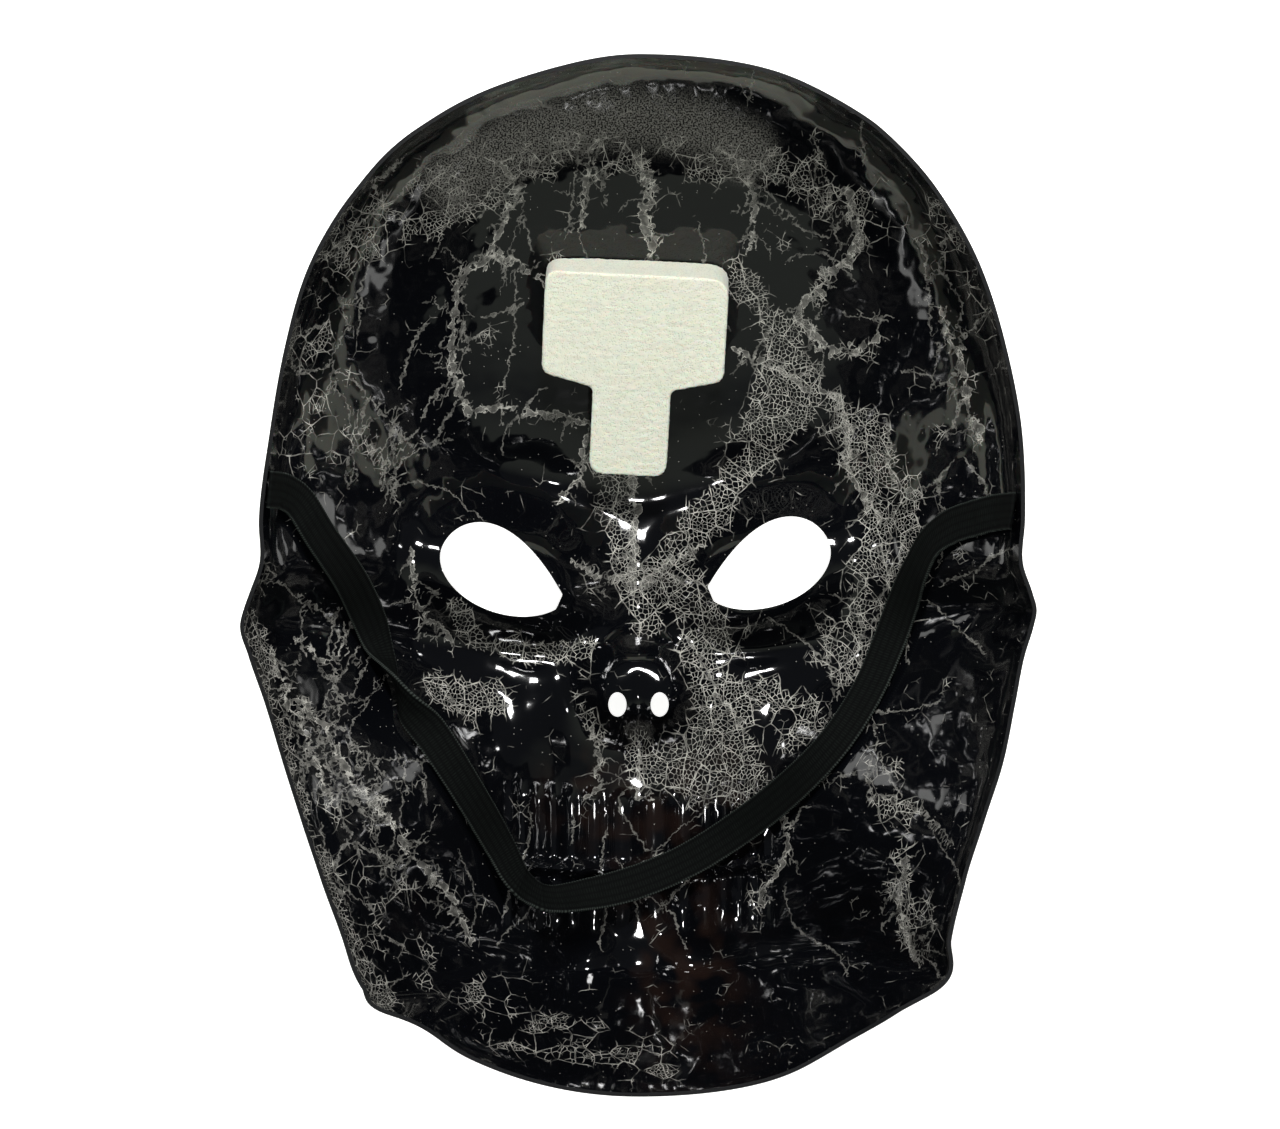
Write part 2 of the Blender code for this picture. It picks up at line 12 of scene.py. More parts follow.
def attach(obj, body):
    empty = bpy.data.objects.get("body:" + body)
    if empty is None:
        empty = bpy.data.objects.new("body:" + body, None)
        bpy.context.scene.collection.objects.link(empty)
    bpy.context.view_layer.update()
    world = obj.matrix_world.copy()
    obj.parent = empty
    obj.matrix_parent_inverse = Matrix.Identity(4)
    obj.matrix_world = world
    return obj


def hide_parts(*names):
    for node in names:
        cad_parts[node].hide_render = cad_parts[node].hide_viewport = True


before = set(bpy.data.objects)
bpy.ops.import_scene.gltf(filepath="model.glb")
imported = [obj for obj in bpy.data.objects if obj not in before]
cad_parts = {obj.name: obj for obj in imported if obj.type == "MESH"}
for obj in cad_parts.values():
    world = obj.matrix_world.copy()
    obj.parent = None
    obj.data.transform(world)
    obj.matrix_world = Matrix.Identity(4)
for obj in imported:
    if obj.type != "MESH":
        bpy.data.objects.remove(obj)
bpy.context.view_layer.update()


# Camera and frame of the picture
cameraSet = {
    "width": 1280,              # picture, in pixels
    "pixelSize": 0.0002604,     # metres that one pixel covers at the rim's level
    "centre": (0.0004, 0.0031),  # point of the mask at the picture's middle
    "distance": 1.25,           # above the rim
}


def addCamera(rimLevel):
    data = bpy.data.cameras.new("camera")
    data.sensor_width = 36
    data.lens = data.sensor_width * cameraSet["distance"] / (cameraSet["width"] * cameraSet["pixelSize"])
    camera = bpy.data.objects.new("camera", data)
    camera.location = (*cameraSet["centre"], rimLevel + cameraSet["distance"])
    bpy.context.scene.collection.objects.link(camera)
    bpy.context.scene.camera = camera


# Shell: sizes in metres, as the solids have them
shellShape = {
    "height": 0.270,
    "width": 0.2054,
    "faceDepth": 0.086,
    "wall": 0.0011,
    "frontBreadth": 2.25,
    "chinEdgeDrop": 0.005,
    "chinEdgeLevels": (-0.90, -0.82),
    "reliefFade": 0.14,         # share of the way in from the rim
    "deepestWithin": (0.7, 0.95),   # shares of the half width and height
    "linesAcross": 204,
    "linesUp": 226,
    "sharpAngle": 50,           # degrees
    "toothRelief": 0.0024,
    "toothRounding": 2.4,
    "toothMiddle": 0.5,
    "upperTooth": 0.0190,
    "lowerTooth": 0.0140,
    "upperScallop": 0.16,
    "lowerScallop": 0.40,
    "rootFade": 0.0055,
    "biteGroove": 0.0030,
    "biteWidth": 0.0018,
    "biteLevel": -0.606,
    "biteCurve": 0.22,
}
halfHeight = shellShape["height"] / 2
halfWidth = shellShape["width"] / 2

eyeShape = {
    "length": 0.0365,
    "opening": 0.0222,
    "upperTaper": 1.0,
    "lowerTaper": 0.16,
    "tipCut": 0.0013,
    "corners": 64,
    "socketReach": 1.36,
    "socketOpeningReach": 1.52,
    "socketRise": -0.150,
    "socketEdge": 2.2,
}
# side, across, up, turn in degrees
eyes = ((-1, 0.358, 0.006, 24.0), (1, 0.341, 0.019, 22.5))

nostrilShape = {"width": 0.0050, "height": 0.0068, "spacing": 0.0116, "level": -0.262, "corners": 32}

# Rim: level, then the left and right edges over those of an ellipse
rimRows = (
    (1.000, 0.84, 1.50), (0.950, 1.01, 1.30), (0.860, 1.08, 1.19), (0.745, 1.06, 1.12),
    (0.600, 1.03, 1.07), (0.450, 0.99, 1.03), (0.283, 0.963, 1.003), (0.110, 0.958, 0.976),
    (0.020, 0.952, 0.966), (-0.036, 0.978, 0.991), (-0.065, 0.993, 1.002), (-0.093, 1.0044, 0.997),
    (-0.150, 0.991, 0.981), (-0.240, 0.967, 0.975), (-0.360, 0.955, 0.980), (-0.470, 0.9575, 0.983),
    (-0.585, 0.980, 1.011), (-0.700, 1.036, 1.097), (-0.790, 1.131, 1.236), (-0.835, 1.172, 1.190),
    (-0.848, 1.128, 1.188), (-0.930, 1.140, 1.225), (-1.000, 1.150, 1.480),
)

# Side view: level, depth over that of an ellipse, and how soon the form falls away sideways
profileRows = (
    (1.000, 0.64, 0.50), (0.926, 0.73, 0.50), (0.815, 0.82, 0.50), (0.667, 0.88, 0.50),
    (0.520, 0.925, 0.50), (0.370, 0.957, 0.51), (0.222, 0.975, 0.53), (0.110, 0.970, 0.56),
    (0.000, 0.945, 0.59), (-0.150, 0.930, 0.62), (-0.330, 0.945, 0.68), (-0.444, 0.990, 0.72),
    (-0.556, 1.070, 0.73), (-0.667, 1.195, 0.70), (-0.778, 1.400, 0.64), (-0.840, 1.500, 0.60),
    (-0.900, 1.480, 0.56), (-0.950, 1.300, 0.53), (-1.000, 1.020, 0.50),
)

# Relief: across, up, reach across, reach up, turn, rise, edge, mirrored
reliefForms = {
    "foreheadBoss": (0.330, 0.440, 0.250, 0.160, 0, 0.030, 1.0, True),
    "browRidge": (0.280, 0.195, 0.250, 0.078, 14, 0.094, 1.0, True),
    "glabella": (0.000, 0.095, 0.120, 0.075, 0, 0.010, 1.0, False),
    "templeHollow": (0.800, 0.160, 0.170, 0.190, 0, -0.120, 1.0, True),
    "nasalBone": (0.000, -0.045, 0.080, 0.085, 0, 0.070, 1.0, False),
    "noseDome": (0.000, -0.222, 0.152, 0.092, 0, -0.130, 1.8, False),
    "noseLobe": (0.085, -0.275, 0.080, 0.062, -30, -0.030, 1.0, True),
    "noseCleft": (0.000, -0.290, 0.014, 0.060, 0, 0.016, 1.0, False),
    "noseSpine": (0.000, -0.345, 0.030, 0.040, 0, 0.030, 1.0, False),
    "cheekbone": (0.600, -0.165, 0.270, 0.085, 22, 0.110, 1.0, True),
    "cheekboneEnd": (0.900, -0.085, 0.110, 0.070, 15, 0.060, 1.0, True),
    "orbitFloor": (0.340, -0.150, 0.170, 0.034, 8, 0.045, 1.0, True),
    "cheekHollow": (0.640, -0.480, 0.210, 0.170, 40, -0.110, 1.3, True),
    "canineHollow": (0.270, -0.300, 0.080, 0.090, 0, -0.035, 1.0, True),
    "muzzle": (0.000, -0.560, 0.430, 0.275, 0, 0.105, 1.3, False),
    "jawSide": (0.500, -0.740, 0.290, 0.080, 28, 0.075, 1.0, True),
    "belowTeeth": (0.000, -0.800, 0.240, 0.034, 0, -0.012, 1.0, False),
    "chinBoss": (0.150, -0.815, 0.130, 0.070, 0, 0.135, 1.0, True),
}
toothEdges = np.array((0.000, 0.091, 0.160, 0.211, 0.254, 0.296, 0.340, 0.388)) * halfWidth


def readRows(rows, column, at):
    # Smooth curve through one column, over the level in the first one
    table = np.array(rows)[::-1]
    levels, values = table[:, 0], table[:, column]
    slopes = np.gradient(values, levels)
    at = np.clip(at, levels[0], levels[-1])
    index = np.clip(np.searchsorted(levels, at) - 1, 0, len(levels) - 2)
    span = levels[index + 1] - levels[index]
    along = (at - levels[index]) / span
    start = (1 + 2 * along) * (1 - along) ** 2 * values[index]
    end = along ** 2 * (3 - 2 * along) * values[index + 1]
    leave = along * (1 - along) ** 2 * span * slopes[index]
    arrive = along ** 2 * (along - 1) * span * slopes[index + 1]
    return start + end + leave + arrive


def ellipseShare(level):
    return np.sqrt(np.clip(1 - level ** 2, 0, None))


def rimEdges(level):
    share = ellipseShare(level) * halfWidth
    return -share * readRows(rimRows, 1, level), share * readRows(rimRows, 2, level)


def roundForm(x, y, centreX, centreY, reachX, reachY, turn, edge):
    across = (x - centreX) * math.cos(turn) + (y - centreY) * math.sin(turn)
    up = (y - centreY) * math.cos(turn) - (x - centreX) * math.sin(turn)
    return np.exp(-((across / reachX) ** 2 + (up / reachY) ** 2) ** edge)


def softStep(value, low, high):
    share = np.clip((value - low) / (high - low), 0, 1)
    return share * share * (3 - 2 * share)


def biteAt(x):
    return shellShape["biteLevel"] * halfHeight + shellShape["biteCurve"] * x ** 2 / halfWidth


def toothRow(x, y, length, scallop, way):
    off = np.abs(x)
    index = np.clip(np.searchsorted(toothEdges, off, side="right") - 1, 0, len(toothEdges) - 2)
    middle = (toothEdges[index] + toothEdges[index + 1]) / 2
    half = (toothEdges[index + 1] - toothEdges[index]) / 2
    share = np.abs(off - middle) / half
    crown = 1 - np.clip(share, 0, 1) ** shellShape["toothRounding"]
    reach = (y - biteAt(x)) * way
    root = length * (1 - scallop * share ** 2)
    rooted = 1 - softStep(reach, root, root + shellShape["rootFade"])
    bitten = softStep(reach, 0, shellShape["biteWidth"])
    inArch = 1 - softStep(off, toothEdges[-2], toothEdges[-1])
    return shellShape["toothRelief"] * (crown - shellShape["toothMiddle"]) * bitten * rooted * inArch


def faceDepth(x, y):
    # Depth of the inner face below the rim plane
    level = y / halfHeight
    left, right = rimEdges(level)
    side = np.clip((2 * x - left - right) / np.maximum(right - left, 1e-9), -1, 1)
    middle = shellShape["faceDepth"] * ellipseShare(level) * readRows(profileRows, 1, level)
    falling = (1 - np.abs(side) ** shellShape["frontBreadth"]) ** readRows(profileRows, 2, level)
    edgeDrop = shellShape["chinEdgeDrop"] * (1 - softStep(level, *shellShape["chinEdgeLevels"]))
    depth = edgeDrop + np.maximum(middle - edgeDrop, 0) * falling
    relief = toothRow(x, y, shellShape["upperTooth"], shellShape["upperScallop"], 1)
    relief += toothRow(x, y, shellShape["lowerTooth"], shellShape["lowerScallop"], -1)
    inArch = 1 - softStep(np.abs(x), toothEdges[-2], toothEdges[-1])
    relief -= shellShape["biteGroove"] * np.exp(-((y - biteAt(x)) / shellShape["biteWidth"]) ** 2) * inArch
    for across, up, reachX, reachY, turn, rise, edge, mirrored in reliefForms.values():
        for hand in (-1, 1) if mirrored else (1,):
            relief += rise * shellShape["faceDepth"] * roundForm(
                x, y, hand * across * halfWidth, up * halfHeight,
                reachX * halfWidth, reachY * halfHeight, hand * math.radians(turn), edge,
            )
    for hand, across, up, turn in eyes:
        relief += eyeShape["socketRise"] * shellShape["faceDepth"] * roundForm(
            x, y, hand * across * halfWidth, up * halfHeight,
            eyeShape["socketReach"] * eyeShape["length"] / 2,
            eyeShape["socketOpeningReach"] * eyeShape["opening"] / 2,
            hand * math.radians(turn), eyeShape["socketEdge"],
        )
    inside = 1 - np.maximum(np.abs(side), np.abs(level)) ** 2
    return depth + relief * softStep(inside, 0.0, shellShape["reliefFade"])


def deepestPoint():
    reachX, reachY = shellShape["deepestWithin"]
    x = np.linspace(-reachX, reachX, 301) * halfWidth
    y = np.linspace(-reachY, reachY, 401) * halfHeight
    across, up = np.meshgrid(x, y)
    return float(faceDepth(across.ravel(), up.ravel()).max())


rimLevel = deepestPoint() + shellShape["wall"]


def innerHeight(x, y):
    return rimLevel - faceDepth(x, y)


# The mesh's lines lie closer round these places: places, spread, gain
lineGathering = {
    "across": ((-0.45, 0, 0.45), 0.30, 0.8),
    "up": ((-0.75, -0.42, -0.15), 0.25, 0.8),
    "even": 0.45,               # the rest lies closer towards the rim
}


def gatherLines(line, places, spread, gain):
    # Moves evenly spaced lines together round some places, for finer detail there
    fine = np.linspace(-1, 1, 2001)
    density = 1 + gain * sum(np.exp(-((fine - place) / spread) ** 2) for place in places)
    reached = np.concatenate(([0], np.cumsum((density[1:] + density[:-1]) / 2)))
    return np.interp(line, reached / reached[-1] * 2 - 1, fine)


def newObject(name, bm, material):
    mesh = bpy.data.meshes.new(name)
    bm.to_mesh(mesh)
    bm.free()
    made = bpy.data.objects.new(name, mesh)
    bpy.context.scene.collection.objects.link(made)
    if material:
        mesh.materials.append(material)
    return made


def bakeModifiers(made):
    # The finished mesh takes the place of the one with live modifiers
    bpy.context.view_layer.update()
    graph = bpy.context.evaluated_depsgraph_get()
    mesh = bpy.data.meshes.new_from_object(made.evaluated_get(graph), depsgraph=graph)
    made.modifiers.clear()
    made.data = mesh
    mesh.name = made.name
    return made


def dropOutline(hand, across, up, turn):
    # A drop, pointed at the inner tip and round at the outer end
    turn = hand * math.radians(turn)
    points = []
    for corner in range(eyeShape["corners"]):
        angle = 2 * math.pi * corner / eyeShape["corners"]
        taper = eyeShape["upperTaper"] if math.sin(angle) >= 0 else eyeShape["lowerTaper"]
        peak = math.acos(-taper / (2 + taper))
        widest = math.sin(peak) * math.sin(peak / 2) ** taper
        reach = eyeShape["length"] / 2
        along = -min(math.cos(angle) * reach, reach - eyeShape["tipCut"]) * hand
        rise = math.sin(angle) * abs(math.sin(angle / 2)) ** taper / widest * eyeShape["opening"] / 2
        points.append((
            hand * across * halfWidth + along * math.cos(turn) - rise * math.sin(turn),
            up * halfHeight + along * math.sin(turn) + rise * math.cos(turn),
        ))
    return points


def ovalOutline(hand):
    turns = np.linspace(0, 2 * math.pi, nostrilShape["corners"], endpoint=False)
    x = hand * nostrilShape["spacing"] / 2 + nostrilShape["width"] / 2 * np.cos(turns)
    y = nostrilShape["level"] * halfHeight + nostrilShape["height"] / 2 * np.sin(turns)
    return list(zip(x, y))


def cutHole(shell, name, outline):
    bm = bmesh.new()
    floor = bm.faces.new([bm.verts.new((x, y, -shellShape["wall"])) for x, y in outline])
    lifted = bmesh.ops.extrude_face_region(bm, geom=[floor])["geom"]
    top = [part for part in lifted if isinstance(part, bmesh.types.BMVert)]
    bmesh.ops.translate(bm, verts=top, vec=(0, 0, rimLevel + shellShape["wall"]))
    bmesh.ops.recalc_face_normals(bm, faces=bm.faces)
    cutter = newObject(name, bm, None)
    hole = shell.modifiers.new(name, "BOOLEAN")
    hole.operation = "DIFFERENCE"
    hole.solver = "EXACT"
    hole.object = cutter
    return cutter


def makeShell(material, edgeMaterial):
    bm = bmesh.new()
    bmesh.ops.create_grid(bm, x_segments=shellShape["linesAcross"], y_segments=shellShape["linesUp"], size=1)
    grid = np.array([vert.co[:2] for vert in bm.verts])
    across = gatherLines(grid[:, 0], *lineGathering["across"])
    upright = gatherLines(grid[:, 1], *lineGathering["up"])
    even = lineGathering["even"]
    u = even * across + (1 - even) * np.sin(across * math.pi / 2)
    v = even * upright + (1 - even) * np.sin(upright * math.pi / 2)
    discX = u * np.sqrt(1 - v * v / 2)
    level = np.clip(v * np.sqrt(1 - u * u / 2), -1, 1)
    share = ellipseShare(level)
    side = np.clip(np.divide(discX, share, out=np.zeros_like(share), where=share > 1e-6), -1, 1)
    left, right = rimEdges(level)
    x = (left + right) / 2 + side * (right - left) / 2
    y = level * halfHeight
    for vert, place in zip(bm.verts, np.column_stack((x, y, innerHeight(x, y)))):
        vert.co = place
    shell = newObject("pvc_mask_shell", bm, material)
    shell.data.materials.append(edgeMaterial)
    wall = shell.modifiers.new("wall", "SOLIDIFY")
    wall.thickness = shellShape["wall"]
    wall.offset = -1
    wall.use_even_offset = False
    wall.material_offset_rim = 1
    cutters = [cutHole(shell, "eyeCut", dropOutline(*eye)) for eye in eyes]
    cutters += [cutHole(shell, "nostrilCut", ovalOutline(hand)) for hand in (-1, 1)]
    bakeModifiers(shell)
    for cutter in cutters:
        bpy.data.objects.remove(cutter)
    shell.data.shade_smooth()
    shell.data.set_sharp_from_angle(angle=math.radians(shellShape["sharpAngle"]))
    markCrackle(shell)
    return shell


# Crackle: where the paint gathers, as points in millimetres from the mask's middle,
# with the reach of each stroke in millimetres and its strength
crackleStrokes = {
    "crownNet": (6, 0.36, ((-76, 88), (-63, 99), (-45, 108), (-21, 113), (6, 113), (30, 110), (48, 106),
                           (59, 98))),
    "crescentLeft": (5, 0.55, ((-79, 84), (-64, 93), (-50, 100), (-34, 103))),
    "crownRight": (4, 0.55, ((26, 116), (38, 110), (50, 104))),
    "riverTop": (4, 0.8, ((27, 84), (33, 74), (40, 64))),
    "river": (5, 0.9, ((38, 66), (45, 56), (44, 46), (36, 38), (28, 27), (18, 16), (12, 8))),
    "riverWide": (7, 0.75, ((39, 53), (34, 35))),
    "underPad": (5, 0.75, ((-8, 29), (-7, 18), (-4, 4))),
    "bridge": (5, 0.85, ((0, -1), (0, -7), (3, -12))),
    "cheek": (8, 0.85, ((9, -1), (17, -12), (20, -23), (22, -34), (28, -45))),
    "cheekLow": (8, 0.85, ((12, -54), (17, -46), (28, -56))),
    "cheekOuter": (8, 0.55, ((34, -34), (44, -40))),
    "rightBand": (8, 0.62, ((58, 43), (66, 29), (66, 10), (63, -7), (58, -23))),
    "rightBandOuter": (7, 0.6, ((63, 37), (71, 21), (72, 4))),
    "leftLid": (3, 0.9, ((-50, -9), (-44, -18), (-30, -22), (-14, -20))),
    "leftPatch": (5, 0.8, ((-55, -31), (-46, -34), (-38, -34))),
    "noseLeft": (3, 0.5, ((-13, -23), (-16, -34), (-11, -45))),
    "noseUnder": (4, 0.7, ((0, -46), (0, -57), (9, -51))),
    "leftRim": (3, 0.62, ((-102, -11), (-98, -27), (-91, -53), (-83, -79), (-75, -100), (-66, -112))),
    "leftLowerSide": (12, 0.18, ((-88, -58), (-78, -72), (-71, -86), (-64, -98))),
    "rightSide": (6, 0.3, ((65, -50), (70, -73), (72, -94))),
    "rightRimTop": (4, 0.35, ((76, 99), (87, 83), (94, 64))),
    "rightCrown": (6, 0.38, ((43, 106), (65, 93))),
    "leftUpperSide": (9, 0.28, ((-87, 65), (-88, 47), (-85, 34))),
    "chin": (6, 0.35, ((-46, -115), (-21, -125), (6, -129))),
}
# Fine paint dust, and the warm tint of the sheet, given in the same way
dustStrokes = {
    "crescent": (6.5, 1.0, ((-50, 105), (-32, 116), (-10, 122), (0, 122), (16, 120), (29, 114))),
}
warmStrokes = {
    "mouth": (13, 0.8, ((-14, -62), (8, -66), (22, -62))),
    "chin": (14, 1.0, ((6, -86), (12, -100), (14, -116))),
}

# Single cracks, as points in millimetres, with half the width of the crack
crackLines = (
    (1.2, ((0, 112), (3, 104), (2, 98), (4, 90), (3, 86))),
    (0.5, ((29, 107), (31, 98), (30, 89))),
    (1.3, ((56, 102), (56, 97), (59, 89), (52, 82), (45, 74), (44, 70))),
    (0.8, ((44, 70), (51, 63), (59, 62), (65, 65))),
    (0.6, ((-37, 110), (-32, 104), (-35, 98), (-40, 88), (-34, 85), (-26, 80))),
    (0.6, ((-38, 87), (-47, 82), (-50, 72), (-52, 63), (-49, 52), (-46, 46), (-33, 46), (-15, 43))),
    (0.6, ((27, 62), (33, 59), (42, 54), (53, 48), (59, 41))),
    (0.9, ((-2, 29), (-1, 21), (-1, 4), (-2, -4))),
    (0.5, ((-14, 40), (-16, 29), (-22, 21))),
    (0.5, ((17, 8), (6, 2), (0, -3))),
    (0.4, ((-18, 4), (-11, 0), (0, -1), (14, -1))),
    (0.4, ((-62, 7), (-60, -7), (-57, -12), (-52, -18))),
    (0.7, ((-90, -33), (-82, -44), (-77, -54), (-65, -68), (-61, -76), (-51, -88), (-46, -100))),
    (0.5, ((-78, -53), (-75, -57), (-68, -60))),
    (0.5, ((14, -18), (22, -32), (28, -40))),
    (0.7, ((70, -76), (71, -94), (74, -102))),
    (0.5, ((36, -62), (42, -72), (34, -90))),
    (0.5, ((-10, 117), (-14, 107), (-17, 94))),
    (0.5, ((22, 114), (29, 110), (31, 104))),
    (0.4, ((-13, -42), (-11, -51), (-15, -62))),
    (0.4, ((0, -46), (0, -60), (3, -62))),
    (0.5, ((-97, -20), (-90, -38), (-81, -59))),
    (0.5, ((81, 71), (86, 55), (91, 36))),
    (0.5, ((57, 40), (58, 29), (66, 15))),
    (0.4, ((-91, -17), (-83, -23), (-78, -13), (-73, -12))),
)
crackleSet = {
    "step": 1.2,            # millimetres between the points of a crack
    "wander": 0.6,          # how far a crack strays from its points
    "twigEvery": 4.5,       # millimetres between side cracks
    "twigLength": (2.0, 9.0),
    "twigWidth": 0.07,
    "twigTurn": (0.6, 1.5),  # radians away from the crack
    "twigSway": 0.35,
    "strokeFade": (0.35, 1.6),  # a stroke fades between these shares of its reach
    "reach": 5.0,           # how far from a crack its distance is known
    "seed": 7,
}
# Hairlines: middle and spread of a field in millimetres, how many, and their heading in degrees
hairFields = (
    (-76, 66, 10, 26, 20, 80),
    (-70, 40, 8, 12, 8, 95),
    (-72, -72, 12, 26, 24, 105),
    (-88, -40, 6, 20, 10, 105),
    (50, -18, 12, 10, 10, 60),
    (72, -70, 9, 28, 14, 85),
    (60, 84, 12, 14, 8, 130),
    (0, 96, 36, 14, 12, 90),
    (-30, 64, 20, 20, 8, 60),
    (84, 40, 6, 24, 12, 95),
    (10, -92, 40, 16, 12, 80),
)
hairSet = {"length": (8.0, 34.0), "width": (0.04, 0.16), "sway": 0.16, "turn": 24.0}


def smoothRoute(values, count):
    values = np.asarray(values, float)
    padded = np.concatenate(([2 * values[0] - values[1]], values, [2 * values[-1] - values[-2]]))
    at = np.linspace(0, len(values) - 1, count)
    index = np.minimum(at.astype(int), len(values) - 2)
    along = (at - index).reshape((-1,) + (1,) * (values.ndim - 1))
    before, start, end, after = (padded[index + step] for step in range(4))
    bend = 2 * start - 2 * end + (end - before) / 2 + (after - start) / 2
    swing = 3 * (end - start) - (end - before) - (after - start) / 2
    return start + along * (end - before) / 2 + along ** 2 * swing + along ** 3 * bend


def wanderingCrack(points, random):
    points = np.array(points, float)
    length = np.linalg.norm(np.diff(points, axis=0), axis=1).sum()
    line = smoothRoute(points, max(3, int(length / crackleSet["step"])))
    stray = random.normal(0, crackleSet["wander"], (max(3, len(line) // 2), 2))
    stray = smoothRoute(stray, len(line))
    stray[0] = stray[-1] = 0
    return line + stray


def strayPath(start, turn, length, sway, random):
    # A thin crack that wanders off from a point
    steps = max(3, int(length / crackleSet["step"]))
    turns = turn + np.cumsum(random.normal(0, sway, steps))
    moves = np.column_stack((np.cos(turns), np.sin(turns))) * length / steps
    return start + np.concatenate(([[0, 0]], np.cumsum(moves, axis=0)))


def allCracks():
    # The cracks with their side twigs, and the hairlines: half width and points of each
    random = np.random.default_rng(crackleSet["seed"])
    cracks = []
    every = max(2, int(crackleSet["twigEvery"] / crackleSet["step"]))
    for x, y, spreadX, spreadY, count, heading in hairFields:
        for _ in range(count):
            start = random.normal((x, y), (spreadX, spreadY))
            turn = math.radians(random.normal(heading, hairSet["turn"]))
            path = strayPath(start, turn, random.uniform(*hairSet["length"]), hairSet["sway"], random)
            cracks.append((random.uniform(*hairSet["width"]), path))
    for width, points in crackLines:
        line = wanderingCrack(points, random)
        cracks.append((width, line))
        for at in range(1 + int(random.integers(every)), len(line) - 1, every):
            ahead = line[at + 1] - line[at - 1]
            turn = math.atan2(ahead[1], ahead[0])
            turn += random.choice((-1, 1)) * random.uniform(*crackleSet["twigTurn"])
            length = random.uniform(*crackleSet["twigLength"])
            twig = strayPath(line[at], turn, length, crackleSet["twigSway"], random)
            cracks.append((crackleSet["twigWidth"], twig))
    return cracks


def strokeCover(strokes, x, y):
    # How strong the strokes are at each point, from 0 to 1
    cover = np.zeros_like(x)
    low, high = crackleSet["strokeFade"]
    for reach, strength, points in strokes.values():
        points = np.array(points, float)
        near = np.full_like(x, 1e9)
        for start, end in zip(points, points[1:]):
            way = end - start
            along = np.clip(((x - start[0]) * way[0] + (y - start[1]) * way[1]) / (way @ way), 0, 1)
            gap = np.hypot(x - start[0] - along * way[0], y - start[1] - along * way[1])
            near = np.minimum(near, gap)
        cover = np.maximum(cover, strength * (1 - softStep(near, low * reach, high * reach)))
    return cover


def markCrackle(shell):
    # Writes where the paint gathers, and how far each point lies from a crack and on which side
    mesh = shell.data
    places = np.empty(len(mesh.vertices) * 3)
    mesh.vertices.foreach_get("co", places)
    x, y, z = places.reshape(-1, 3).T * 1000
    reach = crackleSet["reach"]
    distance = np.full_like(x, reach)
    offset = np.full_like(x, reach)
    width = np.zeros_like(x)
    for half, line in allCracks():
        low, high = line.min(axis=0) - reach, line.max(axis=0) + reach
        near = np.flatnonzero((x > low[0]) & (x < high[0]) & (y > low[1]) & (y < high[1]))
        for start, end in zip(line, line[1:]):
            way = end - start
            run = math.hypot(*way) or 1e-6
            off = np.column_stack((x[near] - start[0], y[near] - start[1]))
            along = np.clip(off @ way / run ** 2, 0, 1)
            gap = np.linalg.norm(off - along[:, None] * way, axis=1)
            side = (way[0] * off[:, 1] - way[1] * off[:, 0]) / run
            closer = gap < distance[near]
            distance[near[closer]] = gap[closer]
            offset[near[closer]] = np.copysign(gap[closer], side[closer])
            width[near[closer]] = half
    for name, values in (
        ("crackleCover", strokeCover(crackleStrokes, x, y)),
        ("dustCover", strokeCover(dustStrokes, x, y)),
        ("warmTint", strokeCover(warmStrokes, x, y)),
        ("crackOffset", offset),
        ("crackDistance", distance),
        ("crackWidth", width),
    ):
        mesh.attributes.new(name, "FLOAT", "POINT").data.foreach_set("value", values.astype(np.float32))
    # Place on the flat printed sheet before it was drawn down, in millimetres
    radius = np.maximum(np.hypot(x, y), 1e-6)
    drawn = 1 + pvcLook["wallStretch"] * z / radius * softStep(radius, *pvcLook["stretchFrom"])
    sheet = np.column_stack((x * drawn, y * drawn, np.zeros_like(x))).astype(np.float32)
    mesh.attributes.new("sheetPlace", "FLOAT_VECTOR", "POINT").data.foreach_set("vector", sheet.ravel())


# Materials
def hexColour(code):
    # sRGB hex to linear
    parts = [int(code[i:i + 2], 16) / 255 for i in (1, 3, 5)]
    return [c / 12.92 if c <= 0.04045 else ((c + 0.055) / 1.055) ** 2.4 for c in parts] + [1.0]


def addNode(tree, kind, inputs=None, **settings):
    made = tree.nodes.new("ShaderNode" + kind)
    for name, value in settings.items():
        setattr(made, name, value)
    for name, value in (inputs or {}).items():
        if isinstance(value, bpy.types.NodeSocket):
            tree.links.new(value, made.inputs[name])
        else:
            made.inputs[name].default_value = value
    return made


def newMaterial(name):
    material = bpy.data.materials.new(name)
    material.use_nodes = True
    return material, material.node_tree, material.node_tree.nodes["Principled BSDF"]


